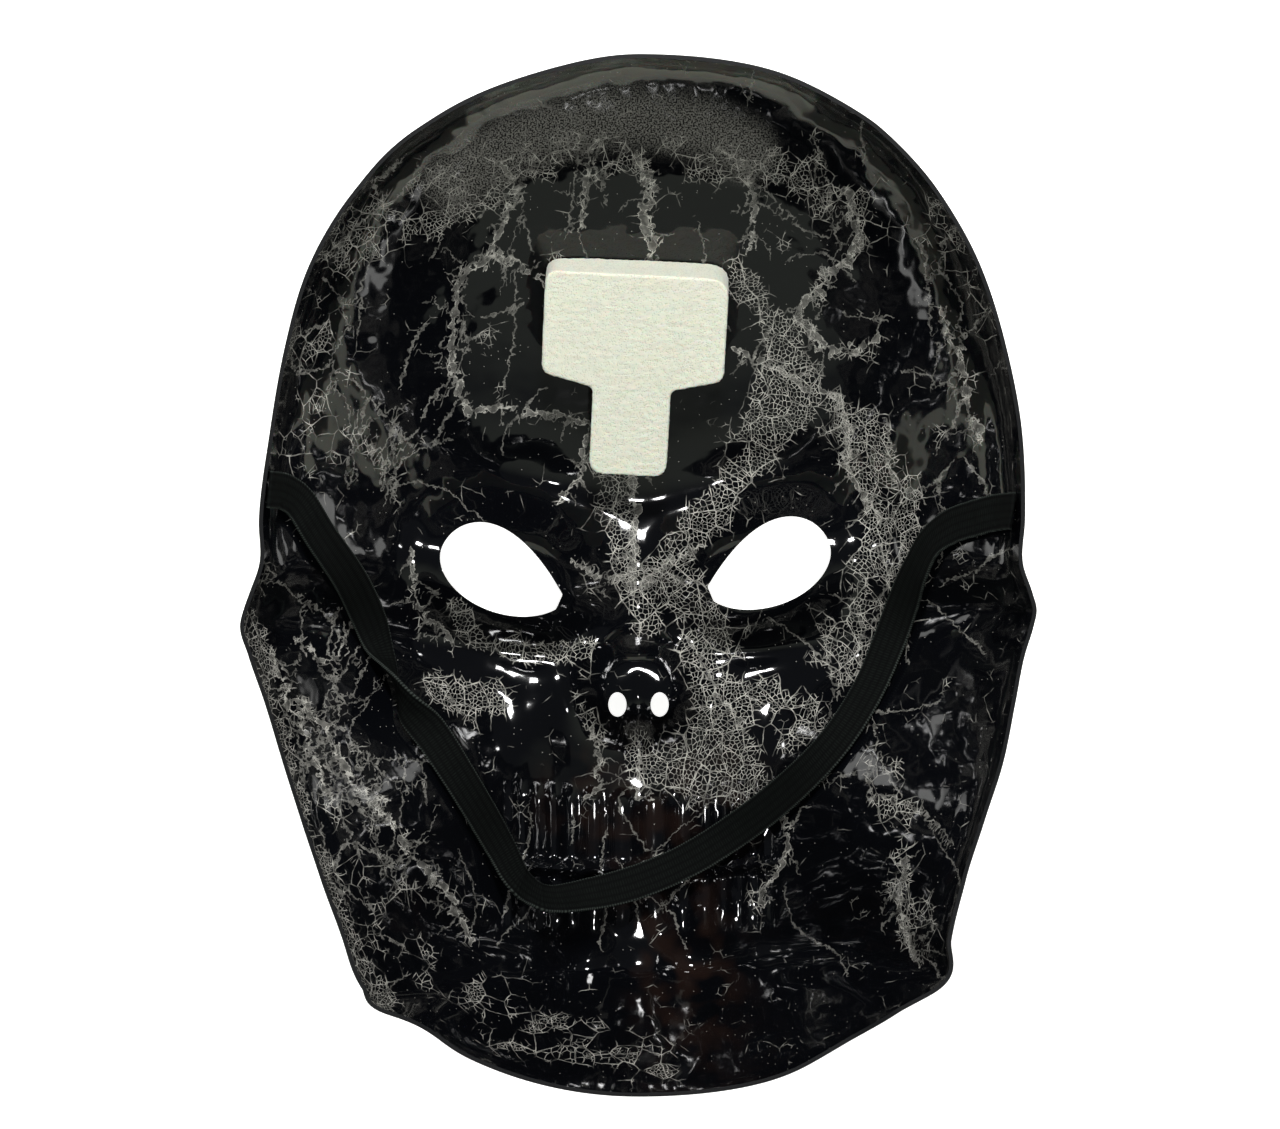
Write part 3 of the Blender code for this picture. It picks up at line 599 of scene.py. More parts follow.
pvcLook = {
    "black": "#07080B",
    "warmBlack": "#1D1411",
    "paint": "#C4C2B9",
    "roughness": 0.07,
    "ior": 1.53,
    "cutEdge": "#0A0B0D",
    "cutRoughness": 0.6,
    "cutSpecular": 0.2,
    "formingWave": (0.07, 1.5, 0.0008),     # waves per millimetre, detail, height in metres
    "wallStretch": 0.32,        # the printed sheet is drawn out on the upright walls
    "stretchFrom": (15, 60),    # millimetres from the middle
    # how the nets' lines wander, wide and then fine: waves per millimetre, reach in millimetres
    "winding": ((0.10, 2.4), (0.5, 0.42)),
    # cell in millimetres, half width of its lines, the cover over which they appear, and the
    # cover over which a finer net takes their place
    "nets": (
        (6.5, 0.11, (0.14, 0.48), None),
        (2.6, 0.085, (0.33, 0.46), (0.53, 0.60)),
        (1.25, 0.065, (0.50, 0.58), None),
    ),
    "lineFade": (0.5, 1.7),     # a line fades between these shares of its half width
    "islands": (-0.28, 0.22),   # cover added from cell to cell of the widest net
    # noises over the sheet: waves per millimetre, detail, roughness, the part of the noise
    # that is used, and what it gives
    "noises": {
        "tear": (0.45, 3.0, 0.62, (0.25, 0.75), (-0.7, 0.7)),   # millimetres off a crack's line
        "swell": (0.35, 0.0, 0.5, (0.35, 0.65), (0.2, 1.5)),    # times a crack's width
        "patchy": (0.10, 2.0, 0.5, (0.3, 0.7), (-0.24, 0.26)),  # cover that lies everywhere
        "broken": (0.4, 1.0, 0.5, (0.36, 0.60), (0.42, 1.0)),   # strength of all lines
        "grain": (1.9, 0.0, 0.5, (0.35, 0.65), (0.02, 0.42)),   # strength of the dust
        "smear": (0.12, 1.0, 0.5, (0.42, 0.65), (0.0, 1.0)),    # strength of the warm tint
    },
    # single cracks: from and to in millimetres, and what it gives
    "cracks": {
        "line": ((0.05, 0.22), (1.0, 0.0)),     # off the torn edge
        "strength": ((0.05, 0.5), (0.28, 1.0)),  # half width of the crack
        "fill": ((0.1, -0.4), (0.0, 0.3)),      # out from the torn edge
        "halo": ((0.8, 4.0), (0.42, 0.0)),      # away from the crack
    },
    "speck": (0.45, 0.035, 0.08, 0.6),  # places per millimetre, full and last radius, strength
    "speckShare": 0.12,         # share of the places that hold a speck
}


def crackledPvc():
    # Vacuum-formed gloss PVC with a crackle lacquer: near-black and mirror smooth, with
    # slow waves from the forming, under torn nets of pale grey lines
    material, tree, shader = newMaterial("vacuum_formed_pvc_crackle_lacquer")
    look = pvcLook
    mm = addNode(tree, "Attribute", attribute_name="sheetPlace").outputs["Vector"]
    offset, distance, width, cover, dust, tint = (
        addNode(tree, "Attribute", attribute_name=name).outputs["Fac"]
        for name in ("crackOffset", "crackDistance", "crackWidth", "crackleCover", "dustCover", "warmTint")
    )
    noises = {}
    for name, (scale, detail, roughness, used, given) in look["noises"].items():
        cloud = addNode(tree, "TexNoise", {"Vector": mm, "Scale": scale, "Detail": detail,
                                           "Roughness": roughness}, noise_dimensions="2D").outputs["Fac"]
        noises[name] = addNode(tree, "MapRange", {"Value": cloud, "From Min": used[0], "From Max": used[1],
                                                  "To Min": given[0], "To Max": given[1]},
                               clamp=given[0] >= 0).outputs["Result"]

    # Wandering of the nets' lines
    winding = mm
    for scale, reach in look["winding"]:
        drift = addNode(tree, "TexNoise", {"Vector": mm, "Scale": scale, "Detail": 0.0},
                        noise_dimensions="2D")
        drift = addNode(tree, "VectorMath", {0: drift.outputs["Color"], 1: (0.5, 0.5, 0.5)},
                        operation="SUBTRACT")
        drift = addNode(tree, "VectorMath", {0: drift.outputs["Vector"], 1: (reach, reach, reach)},
                        operation="MULTIPLY")
        winding = addNode(tree, "VectorMath", {0: winding, 1: drift.outputs["Vector"]}, operation="ADD")
        winding = winding.outputs["Vector"]

    # Single cracks: two torn lines with a light fill, or one where the crack is thin
    torn = addNode(tree, "Math", {0: offset, 1: noises["tear"]}, operation="ADD").outputs["Value"]
    torn = addNode(tree, "Math", {0: torn}, operation="ABSOLUTE").outputs["Value"]
    ended = addNode(tree, "Math", {0: distance, 1: 1.0}, operation="SUBTRACT").outputs["Value"]
    torn = addNode(tree, "Math", {0: torn, 1: ended}, operation="MAXIMUM").outputs["Value"]
    swollen = addNode(tree, "Math", {0: width, 1: noises["swell"]}, operation="MULTIPLY").outputs["Value"]
    tornEdge = addNode(tree, "Math", {0: torn, 1: swollen}, operation="SUBTRACT").outputs["Value"]
    offEdge = addNode(tree, "Math", {0: tornEdge}, operation="ABSOLUTE").outputs["Value"]
    cracks = {}
    for name, measure in (("line", offEdge), ("strength", width), ("fill", tornEdge), ("halo", distance)):
        used, given = look["cracks"][name]
        cracks[name] = addNode(tree, "MapRange", {"Value": measure, "From Min": used[0], "From Max": used[1],
                                                  "To Min": given[0], "To Max": given[1]}).outputs["Result"]
    paint = addNode(tree, "Math", {0: cracks["line"], 1: cracks["strength"]}, operation="MULTIPLY")
    paint = addNode(tree, "Math", {0: paint.outputs["Value"], 1: cracks["fill"]}, operation="MAXIMUM")
    paint = paint.outputs["Value"]

    # Nets of lines: wide cells where little paint lies, and finer ones where there is more
    halo = addNode(tree, "Math", {0: cracks["halo"], 1: width}, operation="MULTIPLY").outputs["Value"]
    for more in (noises["patchy"], halo):
        cover = addNode(tree, "Math", {0: cover, 1: more}, operation="ADD").outputs["Value"]
    widest = look["nets"][0][0]
    island = addNode(tree, "TexVoronoi", {"Vector": winding, "Scale": 1 / widest}, voronoi_dimensions="2D",
                     feature="F1").outputs["Color"]
    island = addNode(tree, "MapRange", {"Value": island, "To Min": look["islands"][0],
                                        "To Max": look["islands"][1]}).outputs["Result"]
    full, last = look["lineFade"]
    for cell, half, appear, vanish in look["nets"]:
        net = addNode(tree, "TexVoronoi", {"Vector": winding, "Scale": 1 / cell}, voronoi_dimensions="2D",
                      feature="DISTANCE_TO_EDGE").outputs["Distance"]
        net = addNode(tree, "MapRange", {"Value": net, "From Min": half * full / cell,
                                         "From Max": half * last / cell, "To Min": 1.0, "To Max": 0.0})
        for limits, values in ((appear, (0.0, 1.0)), (vanish, (1.0, 0.0))):
            if limits:
                shown = addNode(tree, "MapRange", {"Value": cover, "From Min": limits[0],
                                                   "From Max": limits[1], "To Min": values[0],
                                                   "To Max": values[1]})
                net = addNode(tree, "Math", {0: net.outputs[0], 1: shown.outputs["Result"]},
                              operation="MULTIPLY")
        paint = addNode(tree, "Math", {0: paint, 1: net.outputs[0]}, operation="MAXIMUM").outputs["Value"]
        if cell == widest:
            cover = addNode(tree, "Math", {0: cover, 1: island}, operation="ADD").outputs["Value"]
    paint = addNode(tree, "Math", {0: paint, 1: noises["broken"]}, operation="MULTIPLY").outputs["Value"]

    # Fine dust of paint, and loose specks over the bare plastic
    dust = addNode(tree, "Math", {0: dust, 1: noises["grain"]}, operation="MULTIPLY").outputs["Value"]
    scale, full, last, strength = look["speck"]
    place = addNode(tree, "TexVoronoi", {"Vector": mm, "Scale": scale}, voronoi_dimensions="2D", feature="F1")
    speck = addNode(tree, "MapRange", {"Value": place.outputs["Distance"], "From Min": full, "From Max": last,
                                       "To Min": strength, "To Max": 0.0}).outputs["Result"]
    rare = addNode(tree, "SeparateColor", {"Color": place.outputs["Color"]}).outputs["Red"]
    rare = addNode(tree, "Math", {0: rare, 1: look["speckShare"]}, operation="LESS_THAN").outputs["Value"]
    speck = addNode(tree, "Math", {0: speck, 1: rare}, operation="MULTIPLY").outputs["Value"]
    for more in (dust, speck):
        paint = addNode(tree, "Math", {0: paint, 1: more}, operation="MAXIMUM").outputs["Value"]

    tint = addNode(tree, "Math", {0: tint, 1: noises["smear"]}, operation="MULTIPLY").outputs["Value"]
    base = addNode(tree, "Mix", {"Factor": tint, 6: hexColour(look["black"]),
                                 7: hexColour(look["warmBlack"])}, data_type="RGBA").outputs[2]
    colour = addNode(tree, "Mix", {"Factor": paint, 6: base, 7: hexColour(look["paint"])},
                     data_type="RGBA").outputs[2]
    tree.links.new(colour, shader.inputs["Base Color"])

    scale, detail, height = look["formingWave"]
    wave = addNode(tree, "TexNoise", {"Vector": mm, "Scale": scale, "Detail": detail}, noise_dimensions="2D")
    wavy = addNode(tree, "Bump", {"Height": wave.outputs["Fac"], "Distance": height, "Strength": 1.0})
    tree.links.new(wavy.outputs["Normal"], shader.inputs["Normal"])
    shader.inputs["Roughness"].default_value = look["roughness"]
    shader.inputs["IOR"].default_value = look["ior"]
    return material


def trimmedEdge():
    # Die-cut edge of the PVC sheet: black and matt
    material, _, shader = newMaterial("die_cut_pvc_edge")
    shader.inputs["Base Color"].default_value = hexColour(pvcLook["cutEdge"])
    shader.inputs["Roughness"].default_value = pvcLook["cutRoughness"]
    shader.inputs["Specular IOR Level"].default_value = pvcLook["cutSpecular"]
    return material


# Foam pad
padShape = {
    "barWidth": 0.0500,
    "barHeight": 0.0300,
    "stemWidth": 0.0215,
    "length": 0.0590,
    "thickness": 0.0095,
    # metres, from the upper left corner clockwise; the third and fourth lie at the neck
    "corners": (0.0040, 0.0058, 0.0030, 0.0016, 0.0042, 0.0042, 0.0016, 0.0030),
    "cornerSteps": 5,
    "neckDrop": 0.0035,
    "edgeRound": 0.0013,
    "glueGap": 0.0003,
    "topLevel": 0.640,
    "slopeOver": 0.88,      # share of the length over which the forehead's slope is taken
    "turn": math.radians(-3.0),
    "pitch": 0.0036,        # cuts across the back, so that it follows the forehead
    "voxel": 0.00050,
    "poreSize": 0.0011,
    "poreDepth": 0.00013,
    "finerPores": (2.3, 0.5),   # how much finer, and their depth beside the wide ones
}


def roundedOutline(corners, radii, steps):
    points = []
    for index, (corner, radius) in enumerate(zip(corners, radii)):
        corner = Vector(corner)
        back = (Vector(corners[index - 1]) - corner).normalized()
        ahead = (Vector(corners[(index + 1) % len(corners)]) - corner).normalized()
        for step in range(steps + 1):
            share = step / steps
            points.append(corner + back * radius * (1 - share) ** 2 + ahead * radius * share ** 2)
    return points


def padFrame():
    # Flat front of the pad: its upper middle point, and its right, down and outward ways
    topY = padShape["topLevel"] * halfHeight
    lowY = topY - padShape["length"] * padShape["slopeOver"]
    heights = innerHeight(np.zeros(2), np.array([topY, lowY]))
    down = Vector((0, lowY - topY, heights[1] - heights[0])).normalized()
    right = Vector((math.cos(padShape["turn"]), math.sin(padShape["turn"]), 0))
    down = (down - right * down.dot(right)).normalized()
    out = down.cross(right).normalized()
    if out.z < 0:
        out = -out
    rows, columns = np.meshgrid(np.linspace(0, 1, 25), np.linspace(-0.5, 0.5, 13))
    inBar = rows < padShape["barHeight"] / padShape["length"]
    wide = np.where(inBar, padShape["barWidth"], padShape["stemWidth"])
    start = np.array((0, topY, heights[0]))
    points = start + rows[..., None] * padShape["length"] * np.array(down)
    points = points + (columns * wide)[..., None] * np.array(right)
    carrier = innerHeight(points[..., 0], points[..., 1])
    lift = ((carrier - points[..., 2]) * out.z).max() + padShape["glueGap"] + padShape["thickness"]
    return Vector(start) + out * lift, right, down, out


def backFaces(bm, out):
    return [face for face in bm.faces if face.normal.dot(out) < -0.9]


def makePad(material):
    top, right, down, out = padFrame()
    bar, stem = padShape["barWidth"] / 2, padShape["stemWidth"] / 2
    neck = padShape["barHeight"]
    armpit = neck + padShape["neckDrop"]
    corners = ((-bar, 0), (bar, 0), (bar, neck), (stem, armpit), (stem, padShape["length"]),
               (-stem, padShape["length"]), (-stem, armpit), (-bar, neck))
    bm = bmesh.new()
    outline = roundedOutline(corners, padShape["corners"], padShape["cornerSteps"])
    front = bm.faces.new([bm.verts.new(top + right * point.x + down * point.y) for point in outline])
    front.normal_update()
    if front.normal.dot(out) < 0:
        front.normal_flip()
    deep = bmesh.ops.extrude_face_region(bm, geom=[front])["geom"]
    back = [part for part in deep if isinstance(part, bmesh.types.BMVert)]
    bmesh.ops.translate(bm, verts=back, vec=-out * padShape["thickness"])
    bmesh.ops.recalc_face_normals(bm, faces=bm.faces)
    for way, length, first in ((right, padShape["barWidth"], -bar), (down, padShape["length"], 0)):
        count = int(length / padShape["pitch"])
        for step in range(1, count):
            faces = backFaces(bm, out)
            edges = {edge for face in faces for edge in face.edges}
            verts = {vert for face in faces for vert in face.verts}
            bmesh.ops.bisect_plane(bm, geom=faces + list(edges) + list(verts), dist=1e-6,
                                   plane_co=top + way * (first + length * step / count), plane_no=way)
    bmesh.ops.triangulate(bm, faces=backFaces(bm, out))
    for vert in bm.verts:
        if (vert.co - top).dot(out) < -padShape["thickness"] / 2:
            for _ in range(12):
                height = float(innerHeight(np.array([vert.co.x]), np.array([vert.co.y]))[0])
                vert.co += out * (height + padShape["glueGap"] / out.z - vert.co.z) * out.z
    pad = newObject("foam_forehead_pad", bm, material)
    edge = pad.modifiers.new("edge", "BEVEL")
    edge.width = padShape["edgeRound"]
    edge.segments = 3
    edge.limit_method = "ANGLE"
    edge.angle_limit = math.radians(60)
    cells = pad.modifiers.new("cells", "REMESH")
    cells.mode = "VOXEL"
    cells.voxel_size = padShape["voxel"]
    bakeModifiers(pad)
    # Open cells roughen the cut faces
    finer, share = padShape["finerPores"]
    moves = []
    for vert in pad.data.vertices:
        spot = vert.co / padShape["poreSize"]
        rough = noise.noise(spot) + share * noise.noise(spot * finer)
        moves.append(vert.co - vert.normal * padShape["poreDepth"] * (0.7 + rough))
    for vert, place in zip(pad.data.vertices, moves):
        vert.co = place
    pad.data.shade_smooth()
    return pad


foamLook = {
    "cream": "#F4F5E2",
    "shade": "#E6E8D5",
    # colour of the pore hollows: painted shade
    "shadedPoreHollow": "#D2D5C2",
    "poreSize": 0.6,        # millimetres
    "poreBump": 0.0002,
    "roughness": 0.95,
    "subsurface": 0.25,
    "subsurfaceReach": 0.002,
    "sheen": 0.3,
}


def openCellFoam():
    # Cut open-cell polyurethane foam: matt cream, with painted shade darkening the fine pore hollows, and a
    # soft edge fuzz
    material, tree, shader = newMaterial("cut_polyurethane_foam")
    place = addNode(tree, "TexCoord").outputs["Object"]
    mm = addNode(tree, "Mapping", {"Vector": place, "Scale": (1000, 1000, 1000)}).outputs["Vector"]
    shadedPoreHollow = addNode(tree, "TexVoronoi", {"Vector": mm, "Scale": 1 / foamLook["poreSize"]}, feature="F1")
    shadedPoreHollow = addNode(tree, "MapRange", {"Value": shadedPoreHollow.outputs["Distance"], "From Min": 0.05, "From Max": 0.45,
                                      "To Min": 0.0, "To Max": 1.0}).outputs["Result"]
    cloud = addNode(tree, "TexNoise", {"Vector": mm, "Scale": 0.25, "Detail": 4.0}).outputs["Fac"]
    plain = addNode(tree, "Mix", {"Factor": cloud, 6: hexColour(foamLook["shade"]),
                                  7: hexColour(foamLook["cream"])}, data_type="RGBA").outputs[2]
    # Painted shade: the pore hollows are coloured darker than the cream
    colour = addNode(tree, "Mix", {"Factor": shadedPoreHollow, 6: hexColour(foamLook["shadedPoreHollow"]), 7: plain},
                     data_type="RGBA").outputs[2]
    tree.links.new(colour, shader.inputs["Base Color"])
    relief = addNode(tree, "Bump", {"Height": shadedPoreHollow, "Distance": foamLook["poreBump"], "Strength": 0.5})
    tree.links.new(relief.outputs["Normal"], shader.inputs["Normal"])
    shader.inputs["Roughness"].default_value = foamLook["roughness"]
    shader.inputs["Subsurface Weight"].default_value = foamLook["subsurface"]
    shader.inputs["Subsurface Scale"].default_value = foamLook["subsurfaceReach"]
    shader.inputs["Sheen Weight"].default_value = foamLook["sheen"]
    return material


# Elastic strap
strapShape = {
    "width": 0.0100,
    "thickness": 0.0011,
    "restGap": 0.0008,
    "settle": 24,
    "lie": 0.6,
    "lieSpread": 6,
    "steepestWall": 6.0,
    "station": 0.00045,
    "around": 72,
    "ribs": 5,
    "ribDepth": 0.00016,
    "edgeWave": 0.00012,     # the side threads stand out in small loops
    "threadPitch": 0.0009,
    "squareness": 0.35,      # power that squares the round section
    "edgeShare": 12,         # power that keeps the loops to the edges
}
# across, up, lean of the flat side in degrees
strapRoute = (
    (-0.936, 0.168, 0), (-0.905, 0.164, 0), (-0.868, 0.140, 0), (-0.822, 0.078, 0), (-0.757, -0.005, 0),
    (-0.714, -0.085, 0), (-0.680, -0.160, -24), (-0.622, -0.245, -90), (-0.550, -0.312, -152),
    (-0.488, -0.386, -172), (-0.426, -0.468, -180), (-0.368, -0.551, -190), (-0.318, -0.620, -212),
    (-0.245, -0.658, -222), (-0.131, -0.652, -214), (0.004, -0.626, -200), (0.139, -0.581, -190),
    (0.275, -0.513, -184), (0.395, -0.436, -180), (0.515, -0.338, -180), (0.607, -0.232, -180),
    (0.664, -0.135, -182), (0.699, -0.058, -190), (0.728, 0.010, -200), (0.762, 0.066, -198),
    (0.812, 0.098, -186), (0.868, 0.114, -180), (0.915, 0.124, -180), (0.952, 0.127, -180),
)


def strapLine():
    # Centre line, width way and face way of the strap, laid on what is under it
    fine = 12 * len(strapRoute)
    route = smoothRoute(np.array(strapRoute, float), fine)
    x, y, lean = route[:, 0] * halfWidth, route[:, 1] * halfHeight, np.radians(route[:, 2])
    heading = np.column_stack((np.gradient(x), np.gradient(y)))
    heading = heading / np.linalg.norm(heading, axis=1)[:, None]
    sideways = np.column_stack((-heading[:, 1], heading[:, 0]))
    half = strapShape["width"] / 2
    off = sideways * half
    rise = innerHeight(x + off[:, 0], y + off[:, 1]) - innerHeight(x - off[:, 0], y - off[:, 1])
    spread = strapShape["lieSpread"]
    follow = np.pad(strapShape["lie"] * np.arctan(rise / strapShape["width"]), spread, mode="edge")
    window = np.ones(2 * spread + 1) / (2 * spread + 1)
    lean = lean + np.convolve(follow, window, mode="valid")
    step = 0.0005
    level = np.full(fine, -1.0)
    for share in np.linspace(-1, 1, 9):
        offX = x + sideways[:, 0] * share * half * np.cos(lean)
        offY = y + sideways[:, 1] * share * half * np.cos(lean)
        slopeX = (innerHeight(offX + step, offY) - innerHeight(offX - step, offY)) / (2 * step)
        slopeY = (innerHeight(offX, offY + step) - innerHeight(offX, offY - step)) / (2 * step)
        steep = np.sqrt(1 + np.minimum(slopeX ** 2 + slopeY ** 2, strapShape["steepestWall"] ** 2))
        clear = (strapShape["restGap"] + strapShape["thickness"] / 2) * steep
        level = np.maximum(level, innerHeight(offX, offY) + clear - share * half * np.sin(lean))
    carried = level.copy()
    for _ in range(strapShape["settle"]):
        level[1:-1] = np.maximum(carried[1:-1], (level[:-2] + level[2:]) / 2)
    centre = np.column_stack((x, y, level))
    ahead = np.gradient(centre, axis=0)
    ahead = ahead / np.linalg.norm(ahead, axis=1)[:, None]
    flat = np.column_stack((sideways, np.zeros(fine)))
    rising = np.cross(ahead, flat)
    widthWay = flat * np.cos(lean)[:, None] + rising * np.sin(lean)[:, None]
    return centre, widthWay, np.cross(ahead, widthWay)


def strapAcross(turn):
    # Place across the strap, from -1 to 1, for a turn round its section from 0 to 1
    reach = np.cos(2 * math.pi * turn)
    return np.sign(reach) * np.abs(reach) ** strapShape["squareness"]


def ribbedSection(turn, along):
    # Place on the strap's section for a turn from 0 to 1: across, and out of its face
    half, thick = strapShape["width"] / 2, strapShape["thickness"] / 2
    angle = 2 * math.pi * turn
    across = strapAcross(turn)
    face = np.sign(np.sin(angle)) * np.abs(np.sin(angle)) ** strapShape["squareness"]
    rib = np.abs(np.sin(across * strapShape["ribs"] * math.pi / 2))
    onEdge = np.abs(across) ** strapShape["edgeShare"]
    loops = strapShape["edgeWave"] * np.sin(2 * math.pi * along / strapShape["threadPitch"])
    wide = across * (half - strapShape["edgeWave"] + loops * onEdge)
    deep = face * (thick - strapShape["ribDepth"] * (1 - rib) * (1 - onEdge))
    return wide, deep


def makeStrap():
    centre, widthWay, faceWay = strapLine()
    run = np.concatenate(([0], np.cumsum(np.linalg.norm(np.diff(centre, axis=0), axis=1))))
    stations = int(run[-1] / strapShape["station"])
    bm = bmesh.new()
    bm.loops.layers.uv.new("strapLength")
    acrossLayer = bm.verts.layers.float.new("strapAcross")
    bmesh.ops.create_grid(bm, x_segments=stations, y_segments=strapShape["around"], size=1, calc_uvs=True)
    grid = (np.array([vert.co[:2] for vert in bm.verts]) + 1) / 2
    along = grid[:, 0] * run[-1]
    lanes = [np.column_stack([np.interp(along, run, lane) for lane in table.T])
             for table in (centre, widthWay, faceWay)]
    wide, deep = ribbedSection(grid[:, 1], along)
    places = lanes[0] + lanes[1] * wide[:, None] + lanes[2] * deep[:, None]
    for vert, place, across in zip(bm.verts, places, strapAcross(grid[:, 1])):
        vert.co = place
        vert[acrossLayer] = across
    bmesh.ops.remove_doubles(bm, verts=bm.verts, dist=1e-6)
    bmesh.ops.holes_fill(bm, edges=[edge for edge in bm.edges if edge.is_boundary], sides=0)
    bmesh.ops.recalc_face_normals(bm, faces=bm.faces)
    strap = newObject("ribbed_elastic_strap", bm, None)
    strap.data.shade_smooth()
    return strap, run[-1]


elasticLook = {
    "black": "#040505",
    "thread": "#161B18",
    "lighterEdge": "#3C423E",
    "weftPitch": 0.75,          # millimetres between cross threads
    "weftBump": 0.00006,
    "ribShade": (0.15, 0.75),   # painted shade: the grooves between the ribs stay dark
    "edgeFrom": (0.90, 0.97),   # share of the half width where the edges start to turn lighter
    "fuzz": (1.3, 3.0),         # waves per millimetre, and detail
    "roughness": 0.85,
    "specular": 0.08,
}


def wovenElastic(length):
    # Woven polyester elastic: matt black ribs along it, crossed by fine weft threads, with painted shade in
    # the grooves between the ribs
    material, tree, shader = newMaterial("woven_polyester_elastic")
    uv = addNode(tree, "UVMap", uv_map="strapLength").outputs["UV"]
    girth = 2 * (strapShape["width"] + strapShape["thickness"])
    mm = addNode(tree, "Mapping", {"Vector": uv, "Scale": (length * 1000, girth * 1000, 1.0)})
    mm = mm.outputs["Vector"]
    split = addNode(tree, "SeparateXYZ", {"Vector": mm})
    weft = addNode(tree, "Math", {0: split.outputs["X"], 1: 2 * math.pi / elasticLook["weftPitch"]},
                   operation="MULTIPLY").outputs["Value"]
    weft = addNode(tree, "Math", {0: weft}, operation="SINE").outputs["Value"]
    weft = addNode(tree, "MapRange", {"Value": weft, "From Min": -1.0, "From Max": 1.0}).outputs["Result"]
    scale, detail = elasticLook["fuzz"]
    fuzz = addNode(tree, "TexNoise", {"Vector": mm, "Scale": scale, "Detail": detail}).outputs["Fac"]
    thread = addNode(tree, "Math", {0: weft, 1: fuzz}, operation="MULTIPLY").outputs["Value"]
    across = addNode(tree, "Attribute", attribute_name="strapAcross").outputs["Fac"]
    # Painted shade: the thread colour shows on the rib crests only, and the grooves between the ribs stay
    # black
    rib = addNode(tree, "Math", {0: across, 1: strapShape["ribs"] * math.pi / 2}, operation="MULTIPLY")
    rib = addNode(tree, "Math", {0: rib.outputs["Value"]}, operation="SINE").outputs["Value"]
    rib = addNode(tree, "Math", {0: rib}, operation="ABSOLUTE").outputs["Value"]
    low, high = elasticLook["ribShade"]
    rib = addNode(tree, "MapRange", {"Value": rib, "From Min": low, "From Max": high}).outputs["Result"]
    thread = addNode(tree, "Math", {0: thread, 1: rib}, operation="MULTIPLY").outputs["Value"]
    face = addNode(tree, "Mix", {"Factor": thread, 6: hexColour(elasticLook["black"]),
                                 7: hexColour(elasticLook["thread"])}, data_type="RGBA").outputs[2]
    # The side edges are coloured lighter, broken up by the weft
    side = addNode(tree, "Math", {0: across}, operation="ABSOLUTE").outputs["Value"]
    low, high = elasticLook["edgeFrom"]
    side = addNode(tree, "MapRange", {"Value": side, "From Min": low, "From Max": high}).outputs["Result"]
    side = addNode(tree, "Math", {0: side, 1: weft}, operation="MULTIPLY").outputs["Value"]
    colour = addNode(tree, "Mix", {"Factor": side, 6: face, 7: hexColour(elasticLook["lighterEdge"])},
                     data_type="RGBA").outputs[2]
    tree.links.new(colour, shader.inputs["Base Color"])
    relief = addNode(tree, "Bump", {"Height": weft, "Distance": elasticLook["weftBump"], "Strength": 0.8})
    tree.links.new(relief.outputs["Normal"], shader.inputs["Normal"])
    shader.inputs["Roughness"].default_value = elasticLook["roughness"]
    shader.inputs["Specular IOR Level"].default_value = elasticLook["specular"]
    return material


# Studio: pale floor, four small softboxes, and a room that is lighter on the chin's side
studioSet = {
    "floorSize": 6.0,
    "floor": "#F4F4F2",
    "floorRoughness": 0.9,
    "floorGlow": 1.0,
    "world": "#C8CCD0",
    "worldStrength": 0.09,
    "chinSide": "#E2EADB",
    "chinSideStrength": 0.40,
    "chinSideFrom": (-0.15, -0.85),     # where the room grows lighter, down along Y
}
# name, place, aim, width, height, power in watts, colour
softboxes = (
    ("keyBox", (0.05, 0.85, 1.15), (0, 0, 0.05), 0.24, 0.16, 18.0, "#FFFFFF"),
    ("cameraFill", (0.10, -0.45, 1.45), (0, 0, 0.05), 0.14, 0.12, 7.0, "#FFFFFF"),
    ("leftStrip", (-1.10, 0.25, 0.45), (0, 0, 0.05), 0.08, 0.40, 3.0, "#FFFFFF"),
    ("rightStrip", (1.10, 0.25, 0.45), (0, 0, 0.05), 0.08, 0.40, 3.0, "#FFFFFF"),
)


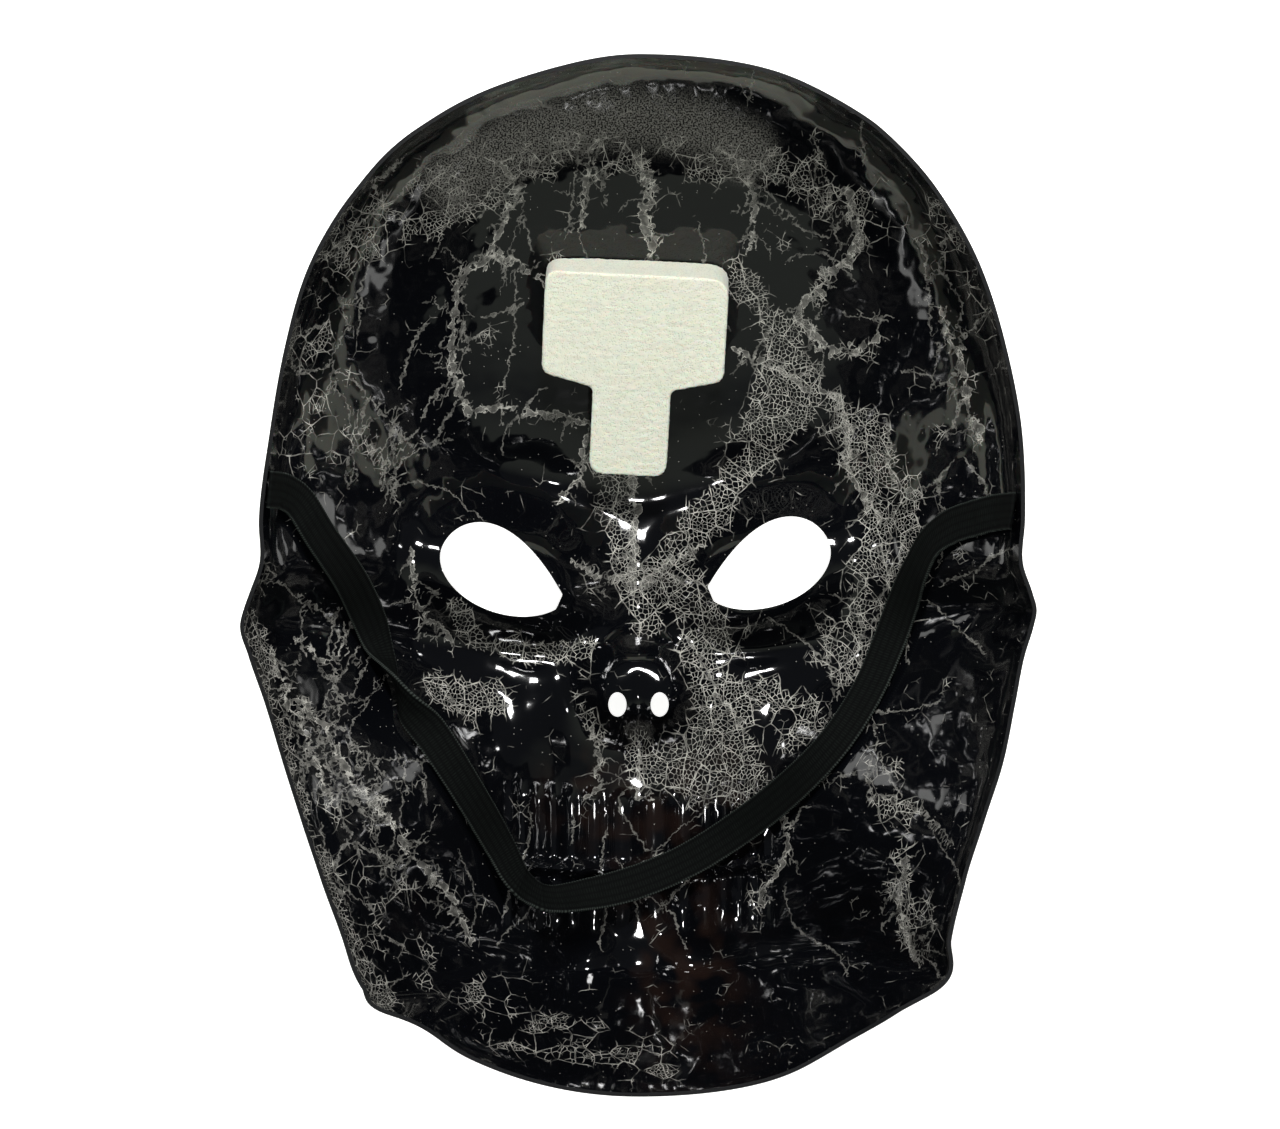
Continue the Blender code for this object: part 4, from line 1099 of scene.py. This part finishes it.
def addStudio():
    bm = bmesh.new()
    bmesh.ops.create_grid(bm, x_segments=1, y_segments=1, size=studioSet["floorSize"] / 2)
    material, _, shader = newMaterial("matt_painted_floor")
    shader.inputs["Base Color"].default_value = hexColour(studioSet["floor"])
    shader.inputs["Roughness"].default_value = studioSet["floorRoughness"]
    shader.inputs["Emission Color"].default_value = hexColour(studioSet["floor"])
    shader.inputs["Emission Strength"].default_value = studioSet["floorGlow"]
    floor = newObject("floor", bm, material)
    for name, place, aim, width, height, power, colour in softboxes:
        data = bpy.data.lights.new(name, "AREA")
        data.shape = "RECTANGLE"
        data.size = width
        data.size_y = height
        data.energy = power
        data.color = hexColour(colour)[:3]
        lamp = bpy.data.objects.new(name, data)
        lamp.location = place
        lamp.rotation_euler = (Vector(aim) - Vector(place)).to_track_quat("-Z", "Y").to_euler()
        bpy.context.scene.collection.objects.link(lamp)
    world = bpy.data.worlds.new("studio")
    world.use_nodes = True
    tree = world.node_tree
    way = addNode(tree, "TexCoord").outputs["Generated"]
    way = addNode(tree, "SeparateXYZ", {"Vector": way}).outputs["Y"]
    low, high = studioSet["chinSideFrom"]
    lighter = addNode(tree, "MapRange", {"Value": way, "From Min": low, "From Max": high},
                      interpolation_type="SMOOTHSTEP").outputs["Result"]
    dim = [studioSet["worldStrength"] * part for part in hexColour(studioSet["world"])]
    light = [studioSet["chinSideStrength"] * part for part in hexColour(studioSet["chinSide"])]
    room = addNode(tree, "Mix", {"Factor": lighter, 6: dim, 7: light}, data_type="RGBA").outputs[2]
    tree.links.new(room, tree.nodes["Background"].inputs["Color"])
    bpy.context.scene.world = world
    bpy.context.scene.view_settings.view_transform = "Standard"


addCamera(rimLevel)
addStudio()
print("camera and studio ready")

shell = makeShell(crackledPvc(), trimmedEdge())
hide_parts("mask_shell")
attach(shell, "root")
print("shell:", len(shell.data.polygons), "faces")

pad = makePad(openCellFoam())
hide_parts("foam_pad")
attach(pad, "root")
print("pad:", len(pad.data.polygons), "faces")

strap, strapLength = makeStrap()
strap.data.materials.append(wovenElastic(strapLength))
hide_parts("elastic_strap")
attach(strap, "root")
print("strap:", len(strap.data.polygons), "faces,", round(strapLength, 4), "m long")
